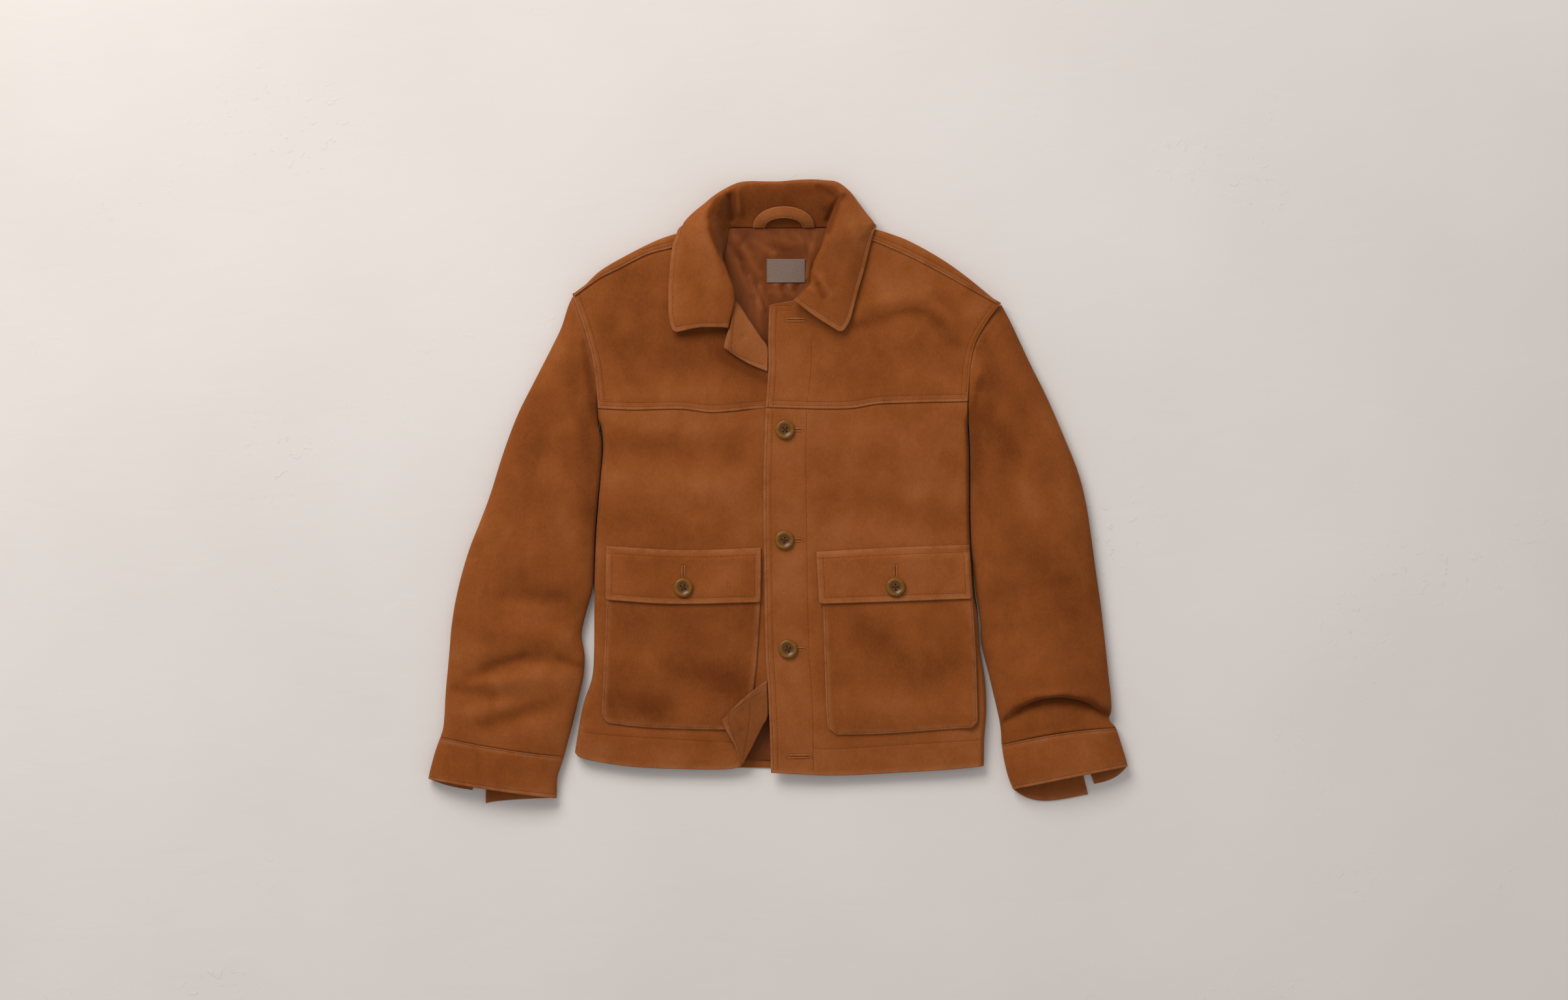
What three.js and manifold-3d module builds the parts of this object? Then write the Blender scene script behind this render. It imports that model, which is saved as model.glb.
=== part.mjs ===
// A suede jacket laid flat on its back, as closed solids of the true garment shape, in millimetres.
// Plan axes: +X to the wearer's left (the viewer's right), +Y to the collar, +Z up from the floor.
// The origin is on the floor under the middle of the jacket's outline. Names say left and right as seen.
import * as THREE from 'three';
import { mergeVertices } from 'three/addons/utils/BufferGeometryUtils.js';
import Module from 'manifold-3d';

const SEAM_GAP = 0.3;
const SUEDE = 2;
const LINING = 1;
const PLACKET_THICK = 3.6;
const COLLAR_THICK = 2.6;
const CORNER_THICK = 3.2;
const FRONT_HEIGHT = 17;
const UNDER_FRONT_HEIGHT = 15.2;
const HEM_HEIGHT = 14;
const YOKE_STEP = 1.2;
const SIDE_ROUND = 7;
const UNDERARM_Y = 88;
const PANEL_INSET = 0.4;
const BACK_INSET = 0.9;
const LINING_INSET = 14;
const NECK_X = 2;
const NECK_HALF = 76;
const NECK_LIFT = 3.1;
const SHOULDER_TURN = 8.5;
const UNDERLAP_X = 25;
const PLACKET_INNER_X = 40;
const POCKET_LIFT = 0.35;
const POCKET_PUFF = 2.4;
const POCKET_OVER_SIDE = 2.8;
const FLAP_LIFT = 0.4;
const FLAP_OVER_POCKET = 0.7;
const FLAP_RISE = 2.2;
const BUTTON_RADIUS = 11.8;
const BUTTON_THICK = 4.4;
const THREAD_HOLE = { radius: 1, fromMiddle: 2.3, sides: 6 };

// Turns rows of numbers into objects with the named columns.
function table(columns, rows) {
  return rows.map((row) => Object.fromEntries(columns.map((name, k) => [name, row[k]])));
}

// A smooth line through [station, value] rows, level past both ends.
function track(rows) {
  const points = [...rows].sort((a, b) => a[0] - b[0]);
  const last = points.length - 1;
  const slope = (k) => {
    const a = points[Math.max(k - 1, 0)];
    const b = points[Math.min(k + 1, last)];
    return (b[1] - a[1]) / (b[0] - a[0]);
  };
  return (s) => {
    if (s <= points[0][0]) return points[0][1];
    if (s >= points[last][0]) return points[last][1];
    let k = 1;
    while (points[k][0] < s) k += 1;
    const [s0, v0] = points[k - 1];
    const [s1, v1] = points[k];
    const span = s1 - s0;
    const t = (s - s0) / span;
    const bend = t * (1 - t);
    return v0 + (v1 - v0) * t * t * (3 - 2 * t)
      + span * (slope(k - 1) * bend * (1 - t) - slope(k) * bend * t);
  };
}

const mix = (a, b, t) => a + (b - a) * t;
const ramp = (from, to, value) => {
  const t = Math.min(Math.max((value - from) / (to - from), 0), 1);
  return t * t * (3 - 2 * t);
};
const steps = (count) => Array.from({ length: count + 1 }, (_, k) => k / count);
const shift = (line, amount) => (s) => line(s) + amount;
const level = (value) => () => value;

// The outline, as x at each y down the sides and y at each x along the hem, seams and shoulders.
const armholeLeft = track([[240, -253], [225, -247], [195, -237], [160, -228], [130, -224], [102, -222],
  [88, -223]]);
const armholeRight = track([[231, 274], [221, 265], [207, 255], [198, 250], [186, 243], [170, 240],
  [150, 237], [130, 235], [105, 232.5], [88, 234]]);
const sideLeft = track([[88, -223], [80, -219], [60, -216], [20, -219], [-30, -223], [-60, -225],
  [-128, -227], [-200, -227.5], [-230, -230], [-260, -240], [-290, -246], [-321, -251]]);
const sideRight = track([[88, 234], [40, 235.8], [-20, 235.8], [-68, 237], [-128, 241], [-152, 246],
  [-190, 248.5], [-230, 255], [-270, 257], [-306, 254.5], [-340, 254]]);
const hemLeft = track([[-251, -321], [-246, -326], [-230, -331], [-180, -338.6], [-114, -341.6],
  [-60, -341.6], [-45, -338]]);
const hemRight = track([[-9, -346], [20, -347.5], [70, -349.5], [150, -345.8], [210, -342.2],
  [254, -338]]);
const edgeLeft = (y) => (y > UNDERARM_Y ? armholeLeft(y) : sideLeft(y));
const edgeRight = (y) => (y > UNDERARM_Y ? armholeRight(y) : sideRight(y));
const hemBack = track([[-250, -318], [-222, -329], [-114, -339], [-45, -340.5], [-10, -340.5],
  [100, -343], [254, -335]]);
const yokeSeamLeft = track([[-222, 102], [-180, 100], [-120, 101], [-80, 97], [-20, 102], [25, 102]]);
const yokeSeamRight = track([[-12, 103], [40, 101.5], [90, 102], [120, 107], [150, 108.5],
  [233, 110.5]]);
const shoulderSeamLeft = track([[-251, 239], [-220, 261], [-200, 271], [-160, 291], [-130, 299],
  [-100, 308], [-76, 315]]);
const shoulderSeamRight = track([[62, 319], [100, 311], [115, 308], [142, 297], [160, 289], [200, 268.5],
  [240, 246], [273, 227.5]]);
const shoulderLineLeft = track([[-253, 241], [-240, 252], [-220, 271], [-190, 289], [-150, 309],
  [-121, 318.5], [-76, 327]]);
const shoulderLineRight = track([[62, 333], [90, 330], [117, 323], [130, 320], [160, 309], [200, 287],
  [230, 266], [262, 240], [274, 230]]);

// The front edges. The under front stops at the two lines where its corners are turned outward.
const underFrontEdge = track([[-338, -45], [-276, -12], [-206, UNDERLAP_X], [119, UNDERLAP_X],
  [181, -15], [191, -22], [211, -35], [228, -46], [236, -52], [250, -66], [270, -75], [290, -77],
  [316, -77]]);
const overFrontEdge = track([[-346, -9], [-300, -10], [-240, -12.5], [-200, -15], [-100, -17], [0, -18],
  [50, -17], [105, -15], [150, -12], [195, -12], [226, -10.4], [230, -8.5], [232, 4], [234, 19],
  [244, 34], [262, 54], [280, 63], [300, 69], [320, 73]]);

// The largest soft folds of each part: a line in plan, its half width and its rise.
const FOLD_COLUMNS = ['fromX', 'fromY', 'toX', 'toY', 'width', 'rise'];
const BODY_FOLDS = table(FOLD_COLUMNS, [
  [-215, 48, -60, 38, 22, -2.2],
  [-200, 75, -80, 72, 16, 1.2],
  [90, -28, 230, -40, 24, -2],
  [100, 214, 205, 197, 10, 2.2],
  [120, 236, 200, 226, 12, -1.8],
  [-205, 190, -215, 120, 14, -2],
  [222, 190, 218, 120, 14, -2],
  [-200, -5, -60, 5, 26, 1.2],
]);
const SLEEVE_FOLDS = table(FOLD_COLUMNS, [
  [-352, -216, -252, -206, 13, -4],
  [-390, -240, -340, -253, 10, -3],
  [-350, -286, -272, -268, 14, -3.5],
  [-330, -235, -262, -232, 12, 2.5],
  [-320, -120, -285, -165, 20, -3.5],
  [-345, -170, -262, -182, 14, 3],
  [-300, 110, -262, 20, 16, -2.5],
  [288, 60, 300, -40, 24, -3],
  [285, -130, 300, -200, 18, -3.5],
  [360, -120, 385, -210, 16, -2.5],
  [300, 150, 330, 60, 18, 2],
]);

function folds(list, x, y) {
  let rise = 0;
  for (const fold of list) {
    const dx = fold.toX - fold.fromX;
    const dy = fold.toY - fold.fromY;
    const ahead = ((x - fold.fromX) * dx + (y - fold.fromY) * dy) / (dx * dx + dy * dy);
    const along = Math.min(Math.max(ahead, 0), 1);
    const away = Math.hypot(x - fold.fromX - along * dx, y - fold.fromY - along * dy) / fold.width;
    rise += fold.rise * Math.exp(-away * away);
  }
  return rise;
}

// Heights of the front's outer face. The sides round down to the back panel below the armholes.
function roundedSide(x, y, height) {
  const inset = x < 0 ? x - sideLeft(y) : sideRight(y) - x;
  if (inset >= SIDE_ROUND || y > 100) return height;
  const foot = SUEDE + SEAM_GAP;
  const left = 1 - Math.max(inset, 0) / SIDE_ROUND;
  const rounded = foot + (height - foot) * Math.sqrt(1 - left * left);
  return mix(rounded, height, ramp(78, 100, y));
}
function frontHeight(x, y, level) {
  const hem = mix(HEM_HEIGHT, FRONT_HEIGHT, ramp(-345, -290, y)) - FRONT_HEIGHT;
  return roundedSide(x, y, level + hem + folds(BODY_FOLDS, x, y));
}
function underFrontTop(x, y) {
  return frontHeight(x, y, mix(FRONT_HEIGHT, UNDER_FRONT_HEIGHT, ramp(-75, -15, x)));
}
function overFrontTop(x, y) {
  const placket = UNDER_FRONT_HEIGHT + SEAM_GAP + PLACKET_THICK;
  return frontHeight(x, y, mix(placket, FRONT_HEIGHT, ramp(38, 75, x)));
}
const frontTop = (x, y, side) => (side === 'left' ? underFrontTop(x, y) : overFrontTop(x, y));

// A closed wall from a grid of outer points. Columns crossed with rows give the outer side unless turned.
function wall(outer, thickness, { wrap = false, turned = false, vertical = false } = {}) {
  const rows = outer.length;
  const cols = outer[0].length;
  const at = (r, c) => outer[r][wrap ? (c + cols) % cols : Math.min(Math.max(c, 0), cols - 1)];
  const positions = [];
  const inner = [];
  for (let r = 0; r < rows; r += 1) {
    for (let c = 0; c < cols; c += 1) {
      const point = outer[r][c];
      const across = new THREE.Vector3().subVectors(at(r, c + 1), at(r, c - 1));
      const down = new THREE.Vector3()
        .subVectors(outer[Math.min(r + 1, rows - 1)][c], outer[Math.max(r - 1, 0)][c]);
      const normal = vertical ? new THREE.Vector3(0, 0, 1) : across.cross(down).normalize();
      const depth = typeof thickness === 'function' ? thickness(point.x, point.y) : thickness;
      const inside = point.clone().addScaledVector(normal, turned && !vertical ? depth : -depth);
      inside.z = Math.max(inside.z, 0);
      inner.push(inside);
      positions.push(point.x, point.y, point.z);
    }
  }
  for (const point of inner) positions.push(point.x, point.y, point.z);
  const id = (layer, r, c) => layer * rows * cols + r * cols + (wrap ? c % cols : c);
  const faces = [];
  const quad = (a, b, c, d) => faces.push(a, b, c, a, c, d);
  const lastCol = wrap ? cols : cols - 1;
  for (let r = 0; r < rows - 1; r += 1) {
    for (let c = 0; c < lastCol; c += 1) {
      quad(id(0, r, c), id(0, r, c + 1), id(0, r + 1, c + 1), id(0, r + 1, c));
      quad(id(1, r, c), id(1, r + 1, c), id(1, r + 1, c + 1), id(1, r, c + 1));
    }
  }
  for (let c = 0; c < lastCol; c += 1) {
    quad(id(0, 0, c + 1), id(0, 0, c), id(1, 0, c), id(1, 0, c + 1));
    quad(id(0, rows - 1, c), id(0, rows - 1, c + 1), id(1, rows - 1, c + 1), id(1, rows - 1, c));
  }
  for (let r = 0; !wrap && r < rows - 1; r += 1) {
    quad(id(0, r, 0), id(0, r + 1, 0), id(1, r + 1, 0), id(1, r, 0));
    quad(id(0, r + 1, cols - 1), id(0, r, cols - 1), id(1, r, cols - 1), id(1, r + 1, cols - 1));
  }
  if (turned) {
    for (let k = 0; k < faces.length; k += 3) [faces[k + 1], faces[k + 2]] = [faces[k + 2], faces[k + 1]];
  }
  const geometry = new THREE.BufferGeometry();
  geometry.setAttribute('position', new THREE.Float32BufferAttribute(positions, 3));
  geometry.setIndex(faces);
  geometry.computeVertexNormals();
  return geometry;
}

// A grid over a region whose four edges are tracks. across gives x from the row's two ends.
function spread({ left, right, bottom, top }, across, up, height) {
  return up.map((v) => across.map((place) => {
    let x = place(left(0), right(0));
    let y = 0;
    for (let pass = 0; pass < 6; pass += 1) {
      y = mix(bottom(x), top(x), v);
      x = place(left(y), right(y));
    }
    return new THREE.Vector3(x, y, height(x, y));
  }));
}
const evenly = (count) => steps(count).map((t) => (x0, x1) => mix(x0, x1, t));
function withRoundedSide(count, side) {
  const curve = [0, 0.25, 0.5, 0.75].map((t) => SIDE_ROUND * (1 - Math.cos(t * Math.PI / 2)));
  const rest = steps(count);
  if (side === 'left') {
    return [...curve.map((d) => (x0) => x0 + d),
      ...rest.map((t) => (x0, x1) => mix(x0 + SIDE_ROUND, x1, t))];
  }
  return [...rest.map((t) => (x0, x1) => mix(x0, x1 - SIDE_ROUND, t)),
    ...curve.reverse().map((d) => (x0, x1) => x1 - d)];
}

const suede = (color) => new THREE.MeshStandardMaterial({ color, roughness: 0.95, metalness: 0 });
const SUEDE_TAN = suede('#8a4a20');
const SUEDE_EDGE = suede('#9a5a30');
const SATIN = new THREE.MeshStandardMaterial({ color: '#7d4228', roughness: 0.6, metalness: 0 });
const TAPE = new THREE.MeshStandardMaterial({ color: '#7a6c66', roughness: 0.85, metalness: 0 });
const HORN = new THREE.MeshStandardMaterial({ color: '#5b4118', roughness: 0.3, metalness: 0 });

const jacket = new THREE.Group();
function add(name, geometry, material) {
  const mesh = new THREE.Mesh(geometry, material);
  mesh.name = name;
  jacket.add(mesh);
}

// Back panel: flat on the floor, lifted a little at the neck where the collar's fall lies under it.
// Its top runs below the shoulder lines by the turn of the strips, and across the neck it is nearly straight.
const BACK_TOP = { neck: 321.5, left: 317.5, right: 318.5, belowLeft: 10.2, belowRight: 9.4 };
const backTop = (x) => {
  if (x < NECK_X - NECK_HALF) return Math.min(shoulderLineLeft(x) - BACK_TOP.belowLeft, BACK_TOP.left);
  if (x > NECK_X + NECK_HALF) return Math.min(shoulderLineRight(x) - BACK_TOP.belowRight, BACK_TOP.right);
  const side = x < 0 ? BACK_TOP.left : BACK_TOP.right;
  return mix(BACK_TOP.neck, side, ramp(NECK_HALF - 12, NECK_HALF, Math.abs(x - NECK_X)));
};
const backLift = (x, y) => NECK_LIFT * ramp(288, 301, y) * (1 - ramp(124, 142, Math.abs(x)));
const backGrid = spread({
  left: shift(edgeLeft, BACK_INSET), right: shift(edgeRight, -BACK_INSET), bottom: hemBack, top: backTop,
}, evenly(18), [0, 0.12, 0.28, 0.42, 0.55, 0.65, 0.74, 0.82, 0.88, 0.92, 0.946, 0.968, 1], backLift);
add('back_panel', wall(backGrid, SUEDE, { turned: true }), SUEDE_TAN);

// Lining inside the back, with a few soft vertical billows under the neck.
const liningTop = (x, y) => {
  const show = ramp(100, 180, y) * (1 - ramp(225, 250, y));
  const billow = 1.4 + Math.cos((x + 0.28 * y) / 20);
  return backLift(x, y) + SUEDE + LINING + 2 * SEAM_GAP + 0.6 * ramp(270, 290, y) + show * billow;
};
const liningGrid = spread({
  left: shift(edgeLeft, BACK_INSET + LINING_INSET), right: shift(edgeRight, -BACK_INSET - LINING_INSET),
  bottom: level(-331),
  top: (x) => Math.min(backTop(x) - 2, 319.5 - 5 * ramp(48, 60, Math.abs(x - NECK_X))),
}, evenly(20), [0, 0.2, 0.45, 0.66, 0.74, 0.8, 0.86, 0.9, 0.93, 0.954, 0.975, 1], liningTop);
add('back_lining', wall(liningGrid, LINING), SATIN);

// The back comes over each shoulder as a strip and ends at the shoulder seam on the front.
function shoulderStrip(side) {
  const isLeft = side === 'left';
  const line = isLeft ? shoulderLineLeft : shoulderLineRight;
  const seam = isLeft ? shoulderSeamLeft : shoulderSeamRight;
  const from = isLeft ? -250.4 : 78;
  const to = isLeft ? -80 : 268.9;
  const turn = [0, 0.12, 0.3, 0.5, 0.7, 0.88];
  return steps(15).map((t) => {
    const x = mix(from, to, t);
    const lift = backLift(x, 318);
    const crest = frontTop(x, seam(x), side) + YOKE_STEP;
    const middle = (lift + crest) / 2;
    const half = (crest - lift) / 2;
    const end = seam(x) + 0.5;
    const reach = Math.min(SHOULDER_TURN, 0.6 * (line(x) - end));
    const near = line(x) - reach;
    const curve = turn.map((a) => {
      const turned = a < 0.5 ? SHOULDER_TURN : reach;
      const y = line(x) - turned * (1 - Math.sin(a * Math.PI));
      return new THREE.Vector3(x, y, middle - half * Math.cos(a * Math.PI));
    });
    const flat = [0.35, 1].map((a) => new THREE.Vector3(x, mix(near, end, a), crest));
    return [...curve, ...flat];
  });
}
add('shoulder_left', wall(shoulderStrip('left'), SUEDE), SUEDE_TAN);
add('shoulder_right', wall(shoulderStrip('right'), SUEDE), SUEDE_TAN);

// Fronts: a yoke and a lower panel on each side. The over front is doubled along its edge.
const placketThickness = (x) => {
  const past = ramp(PLACKET_INNER_X - 3, PLACKET_INNER_X + 8, x);
  return mix(PLACKET_THICK, SUEDE, past);
};
const yokeTop = (side) => (x, y) => {
  const seam = side === 'left' ? yokeSeamLeft(x) : yokeSeamRight(x);
  const shown = side === 'left' ? 1 - ramp(-42, -20, x) : 1;
  return frontTop(x, y, side) + YOKE_STEP * shown * (1 - ramp(seam + 10, seam + 35, y));
};
add('front_yoke_left', wall(spread({
  left: shift(armholeLeft, PANEL_INSET), right: shift(underFrontEdge, -PANEL_INSET),
  bottom: shift(yokeSeamLeft, SEAM_GAP), top: shift(shoulderSeamLeft, -SEAM_GAP),
}, evenly(12), [0, 0.08, 0.16, 0.28, 0.4, 0.52, 0.62, 0.7, 0.8, 0.9, 1], yokeTop('left')), SUEDE),
SUEDE_TAN);
add('front_yoke_right', wall(spread({
  left: overFrontEdge, right: shift(armholeRight, -PANEL_INSET),
  bottom: shift(yokeSeamRight, SEAM_GAP), top: shift(shoulderSeamRight, -SEAM_GAP),
}, evenly(13), [0, 0.08, 0.16, 0.28, 0.4, 0.5, 0.57, 0.588, 0.598, 0.608, 0.66, 0.75, 0.85, 0.93, 1],
yokeTop('right')), placketThickness), SUEDE_TAN);
const lowerRows = [0, 0.05, 0.12, 0.2, 0.3, 0.42, 0.54, 0.65, 0.75, 0.84, 0.91, 0.96, 1];
add('front_lower_left', wall(spread({
  left: shift(edgeLeft, PANEL_INSET), right: shift(underFrontEdge, -PANEL_INSET),
  bottom: hemLeft, top: shift(yokeSeamLeft, -SEAM_GAP),
}, withRoundedSide(10, 'left'), lowerRows, underFrontTop), SUEDE), SUEDE_TAN);
add('front_lower_right', wall(spread({
  left: overFrontEdge, right: shift(edgeRight, -PANEL_INSET),
  bottom: hemRight, top: shift(yokeSeamRight, -SEAM_GAP),
}, withRoundedSide(11, 'right'), lowerRows, overFrontTop), placketThickness), SUEDE_TAN);

// The under front's two corners, turned outward: outer and fold lines from the point where they start.
const CORNER_COLUMNS = ['outerX', 'outerY', 'foldX', 'foldY', 'outerRise', 'foldRise'];
const TOP_CORNER = table(CORNER_COLUMNS, [
  [-53.2, 233, -49.8, 233, 8.6, 5],
  [-57.6, 214, -38, 214.5, 8.4, 4.4],
  [-60.6, 200, -28.5, 200.5, 7.8, 4],
  [-63.8, 190, -21, 189, 7, 3.8],
  [-66.5, 178, -12.9, 176, 6.4, 3.6],
  [-65.6, 176, -12.9, 147.5, 5.8, 3.6],
]);
const BOTTOM_CORNER = table(CORNER_COLUMNS, [
  [-46.2, -335.5, -43.6, -335.5, 4.6, 4],
  [-52, -315, -33, -316, 6.4, 4],
  [-58, -304, -25.5, -301, 7.6, 4],
  [-64, -293, -18.5, -287, 8.6, 4],
  [-68.6, -281, -13, -274, 9, 4],
  [-67, -278.5, -14, -232, 9, 4.4],
]);
function turnedCorner(rows) {
  return rows.map((row) => steps(6).map((t) => {
    const x = mix(row.outerX, row.foldX, t);
    const last = row === rows[rows.length - 1];
    const sag = last ? 3.2 * Math.sin(Math.PI * t) * Math.sign(row.foldY) : 0;
    const y = mix(row.outerY, row.foldY, t) - sag;
    return new THREE.Vector3(x, y, underFrontTop(x, y) + mix(row.outerRise, row.foldRise, t ** 1.8));
  }));
}
add('front_corner_top', wall(turnedCorner(TOP_CORNER), CORNER_THICK, { vertical: true, turned: true }),
  SUEDE_EDGE);
add('front_corner_bottom', wall(turnedCorner(BOTTOM_CORNER), CORNER_THICK, { vertical: true }), SUEDE_EDGE);

// Collar: a section at each place along the neck, from the neck seam over the roll to the outer edge.
const COLLAR = table(['neckX', 'neckY', 'neckZ', 'rollX', 'rollY', 'rollZ', 'fallX', 'fallY', 'fallZ',
  'edgeX', 'edgeY', 'edgeZ'], [
  [-62.5, 200, 25.5, -61, 200.5, 27.5, -95, 201, 28.5, -129, 194.5, 25],
  [-58.5, 215, 26, -57, 216, 28.5, -96, 217, 30, -134.3, 214, 23],
  [-54.8, 231, 25, -52.8, 233, 29, -95, 236, 30.5, -135, 235, 22],
  [-61, 243, 21, -53, 244, 30, -96, 250, 30.5, -135, 252, 21.5],
  [-65.2, 253, 20, -55.5, 253, 31, -97, 262, 30.5, -134, 266, 21.5],
  [-68, 266, 19, -60.5, 266, 32.5, -98, 275, 31, -133, 279, 21.5],
  [-69, 278, 15, -66, 279, 34, -99, 288, 31.5, -131.5, 292, 21.5],
  [-68, 289, 12.3, -72, 289.5, 35, -102, 300, 32, -129.5, 304, 21.5],
  [-65, 300, 10.3, -77, 300, 35.5, -104, 309, 32, -126, 313, 21.5],
  [-62.5, 312, 9, -81.5, 311, 36, -106, 319, 31, -124, 321, 19],
  [-61, 320, 8.2, -84, 321, 36, -112, 326.5, 26, -121, 325.5, 11],
  [-60, 324, 7.8, -85, 331, 35, -113.5, 333, 18, -116.5, 327, 2.6],
  [-58.5, 324.6, 7.6, -85, 341, 34, -104, 343.5, 16, -107, 321, -7],
  [-57.5, 324.8, 7.4, -81, 351, 32.5, -92, 353, 14, -93, 318, -7],
  [-56, 325, 7.4, -73, 361, 29, -80, 362.5, 13, -78, 315, -7],
  [-53, 325, 7.4, -60, 369, 26, -66, 371.5, 11, -62, 312, -7],
  [-47, 325, 7.4, -48, 374, 22, -50, 379.5, 10, -46, 309, -7],
  [-36, 325, 7.4, -35, 376.5, 19.5, -34, 381.8, 9, -32, 307, -7],
  [-18, 325, 7.4, -17, 377, 18.5, -16, 381.5, 9, -16, 306, -7],
  [2, 325, 7.4, 2, 377, 18.5, 2, 381.5, 9, 2, 305, -7],
  [20, 325, 7.4, 20, 378, 18.5, 20, 383.2, 9, 20, 305, -7],
  [36, 325, 7.4, 37, 378.5, 19.5, 38, 384, 9, 36, 306, -7],
  [50, 325, 7.4, 53, 377, 22, 55, 383, 10, 50, 308, -7],
  [57, 324.8, 7.4, 67, 373, 25.5, 73, 380.5, 11, 64, 312, -7],
  [60, 324.4, 7.6, 77, 364, 29, 88, 369.5, 13, 80, 315, -7],
  [61.5, 323.6, 7.8, 72.5, 352, 32, 99, 355.5, 15, 96, 319, -7],
  [62.3, 322, 8.4, 66.5, 338, 34, 108, 342.5, 18, 110, 323, -7],
  [63, 319.5, 9.2, 62.5, 328, 35, 114, 333, 22, 118.5, 329, 4],
  [64, 315, 10.8, 59, 318, 35.5, 112, 326.5, 27, 121.5, 326.5, 13],
  [63.5, 308, 12.5, 55.5, 308, 35.5, 102, 315, 31, 118.5, 320.5, 21.3],
  [62, 300, 15, 52, 298, 35, 93, 304, 31.5, 114.5, 307, 21.5],
  [60, 290, 18, 47.5, 289, 34.5, 87, 293, 31, 110.5, 291, 21.5],
  [57, 280, 20, 43.5, 280, 33, 82, 281, 30.5, 107, 276, 21.5],
  [53.5, 270, 20.5, 40.8, 270, 31.5, 78, 269, 30, 102.5, 260, 21.5],
  [48.5, 261, 21, 40, 261, 30.5, 74, 256, 29.5, 97.5, 243, 22],
  [43.5, 254, 21.5, 38.5, 254, 29.5, 69, 243, 29.5, 92.5, 224, 23],
  [32, 244, 23.5, 28.5, 244.5, 28.5, 60, 229, 29.5, 88, 209, 24.5],
  [20.5, 233.5, 24.8, 18.5, 235, 27.5, 46, 214, 29, 78.5, 194, 26],
]);
const COLLAR_SPANS = [2, 4, 4];
function collarSection(row) {
  const points = ['neck', 'roll', 'fall', 'edge']
    .map((name) => new THREE.Vector3(row[`${name}X`], row[`${name}Y`], row[`${name}Z`]));
  const curve = new THREE.CatmullRomCurve3(points, false, 'centripetal');
  const section = [];
  COLLAR_SPANS.forEach((count, span) => {
    for (let k = 0; k < count; k += 1) section.push(curve.getPoint((span + k / count) / 3));
  });
  section.push(curve.getPoint(1));
  for (const point of section) point.z = Math.max(point.z, 0);
  return section;
}
add('collar', wall(COLLAR.map(collarSection), COLLAR_THICK, { turned: true }), SUEDE_TAN);

// Hanger loop: a flat arc of suede whose ends are caught in the back neck seam.
const LOOP = { x: 7, y: 326, outerX: 38, outerY: 26, innerX: 23, innerY: 11.5, low: 10.5, high: 20.5 };
add('hanger_loop', wall(steps(12).map((t) => steps(2).map((w) => {
  const angle = Math.PI * mix(0.04, 0.96, t);
  const x = LOOP.x - Math.cos(angle) * mix(LOOP.outerX, LOOP.innerX, w);
  const y = LOOP.y + Math.sin(angle) * mix(LOOP.outerY, LOOP.innerY, w);
  return new THREE.Vector3(x, y, mix(LOOP.low, LOOP.high, Math.sin(angle)));
})), SUEDE, { vertical: true }), SUEDE_EDGE);

// Neck label: a small woven tape on the lining, bare.
const labelTop = (x, y) => liningTop(x, y) + LINING + 2 * SEAM_GAP;
add('neck_label', wall(spread({
  left: level(-14.5), right: level(33.5), bottom: level(257.5), top: level(286.5),
}, evenly(8), steps(4), labelTop), LINING, { vertical: true }), TAPE);

// Sleeves: rings from the armhole to the cuff seam. bow moves a ring's middle towards the shoulder.
const SLEEVE_COLUMNS = ['outerX', 'outerY', 'innerX', 'innerY', 'crown', 'bow', 'armhole'];
const SLEEVE_LEFT = table(SLEEVE_COLUMNS, [
  [-253.6, 239.5, -223.9, 88, 15.5, 0, 1],
  [-259, 227, -223.2, 80, 18, 0, 0.9],
  [-267, 202, -220, 70, 21.5, 0, 0.7],
  [-280, 175, -217.8, 64, 23, 0, 0.45],
  [-300, 136, -217.3, 48, 24, 0, 0.2],
  [-321, 94, -218.6, 29, 24.5, 0, 0],
  [-339, 46, -220.4, 8, 24.5, 0, 0],
  [-354, -2, -222.6, -15, 24.5, 0, 0],
  [-367, -37, -224.6, -38, 24, 0, 0],
  [-380, -70, -226.2, -62, 24, 0, 0],
  [-390.5, -105, -227.2, -90, 24, 0, 0],
  [-398, -138, -228.6, -120, 24, 0, 0],
  [-402.5, -168, -236.5, -150, 24, 0, 0],
  [-404.5, -192, -242, -176, 24, 0, 0],
  [-406.5, -215, -238.5, -200, 24, 0, 0],
  [-408.5, -236, -239.5, -226, 24, 0, 0],
  [-410, -256, -245, -252, 24, 0, 0],
  [-411, -276, -251.5, -280, 23.5, 0, 0],
  [-412.5, -291, -257.5, -303, 23, 0, 0],
  [-415.7, -301.6, -263.6, -326.6, 22, -2, 0],
]);
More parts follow.
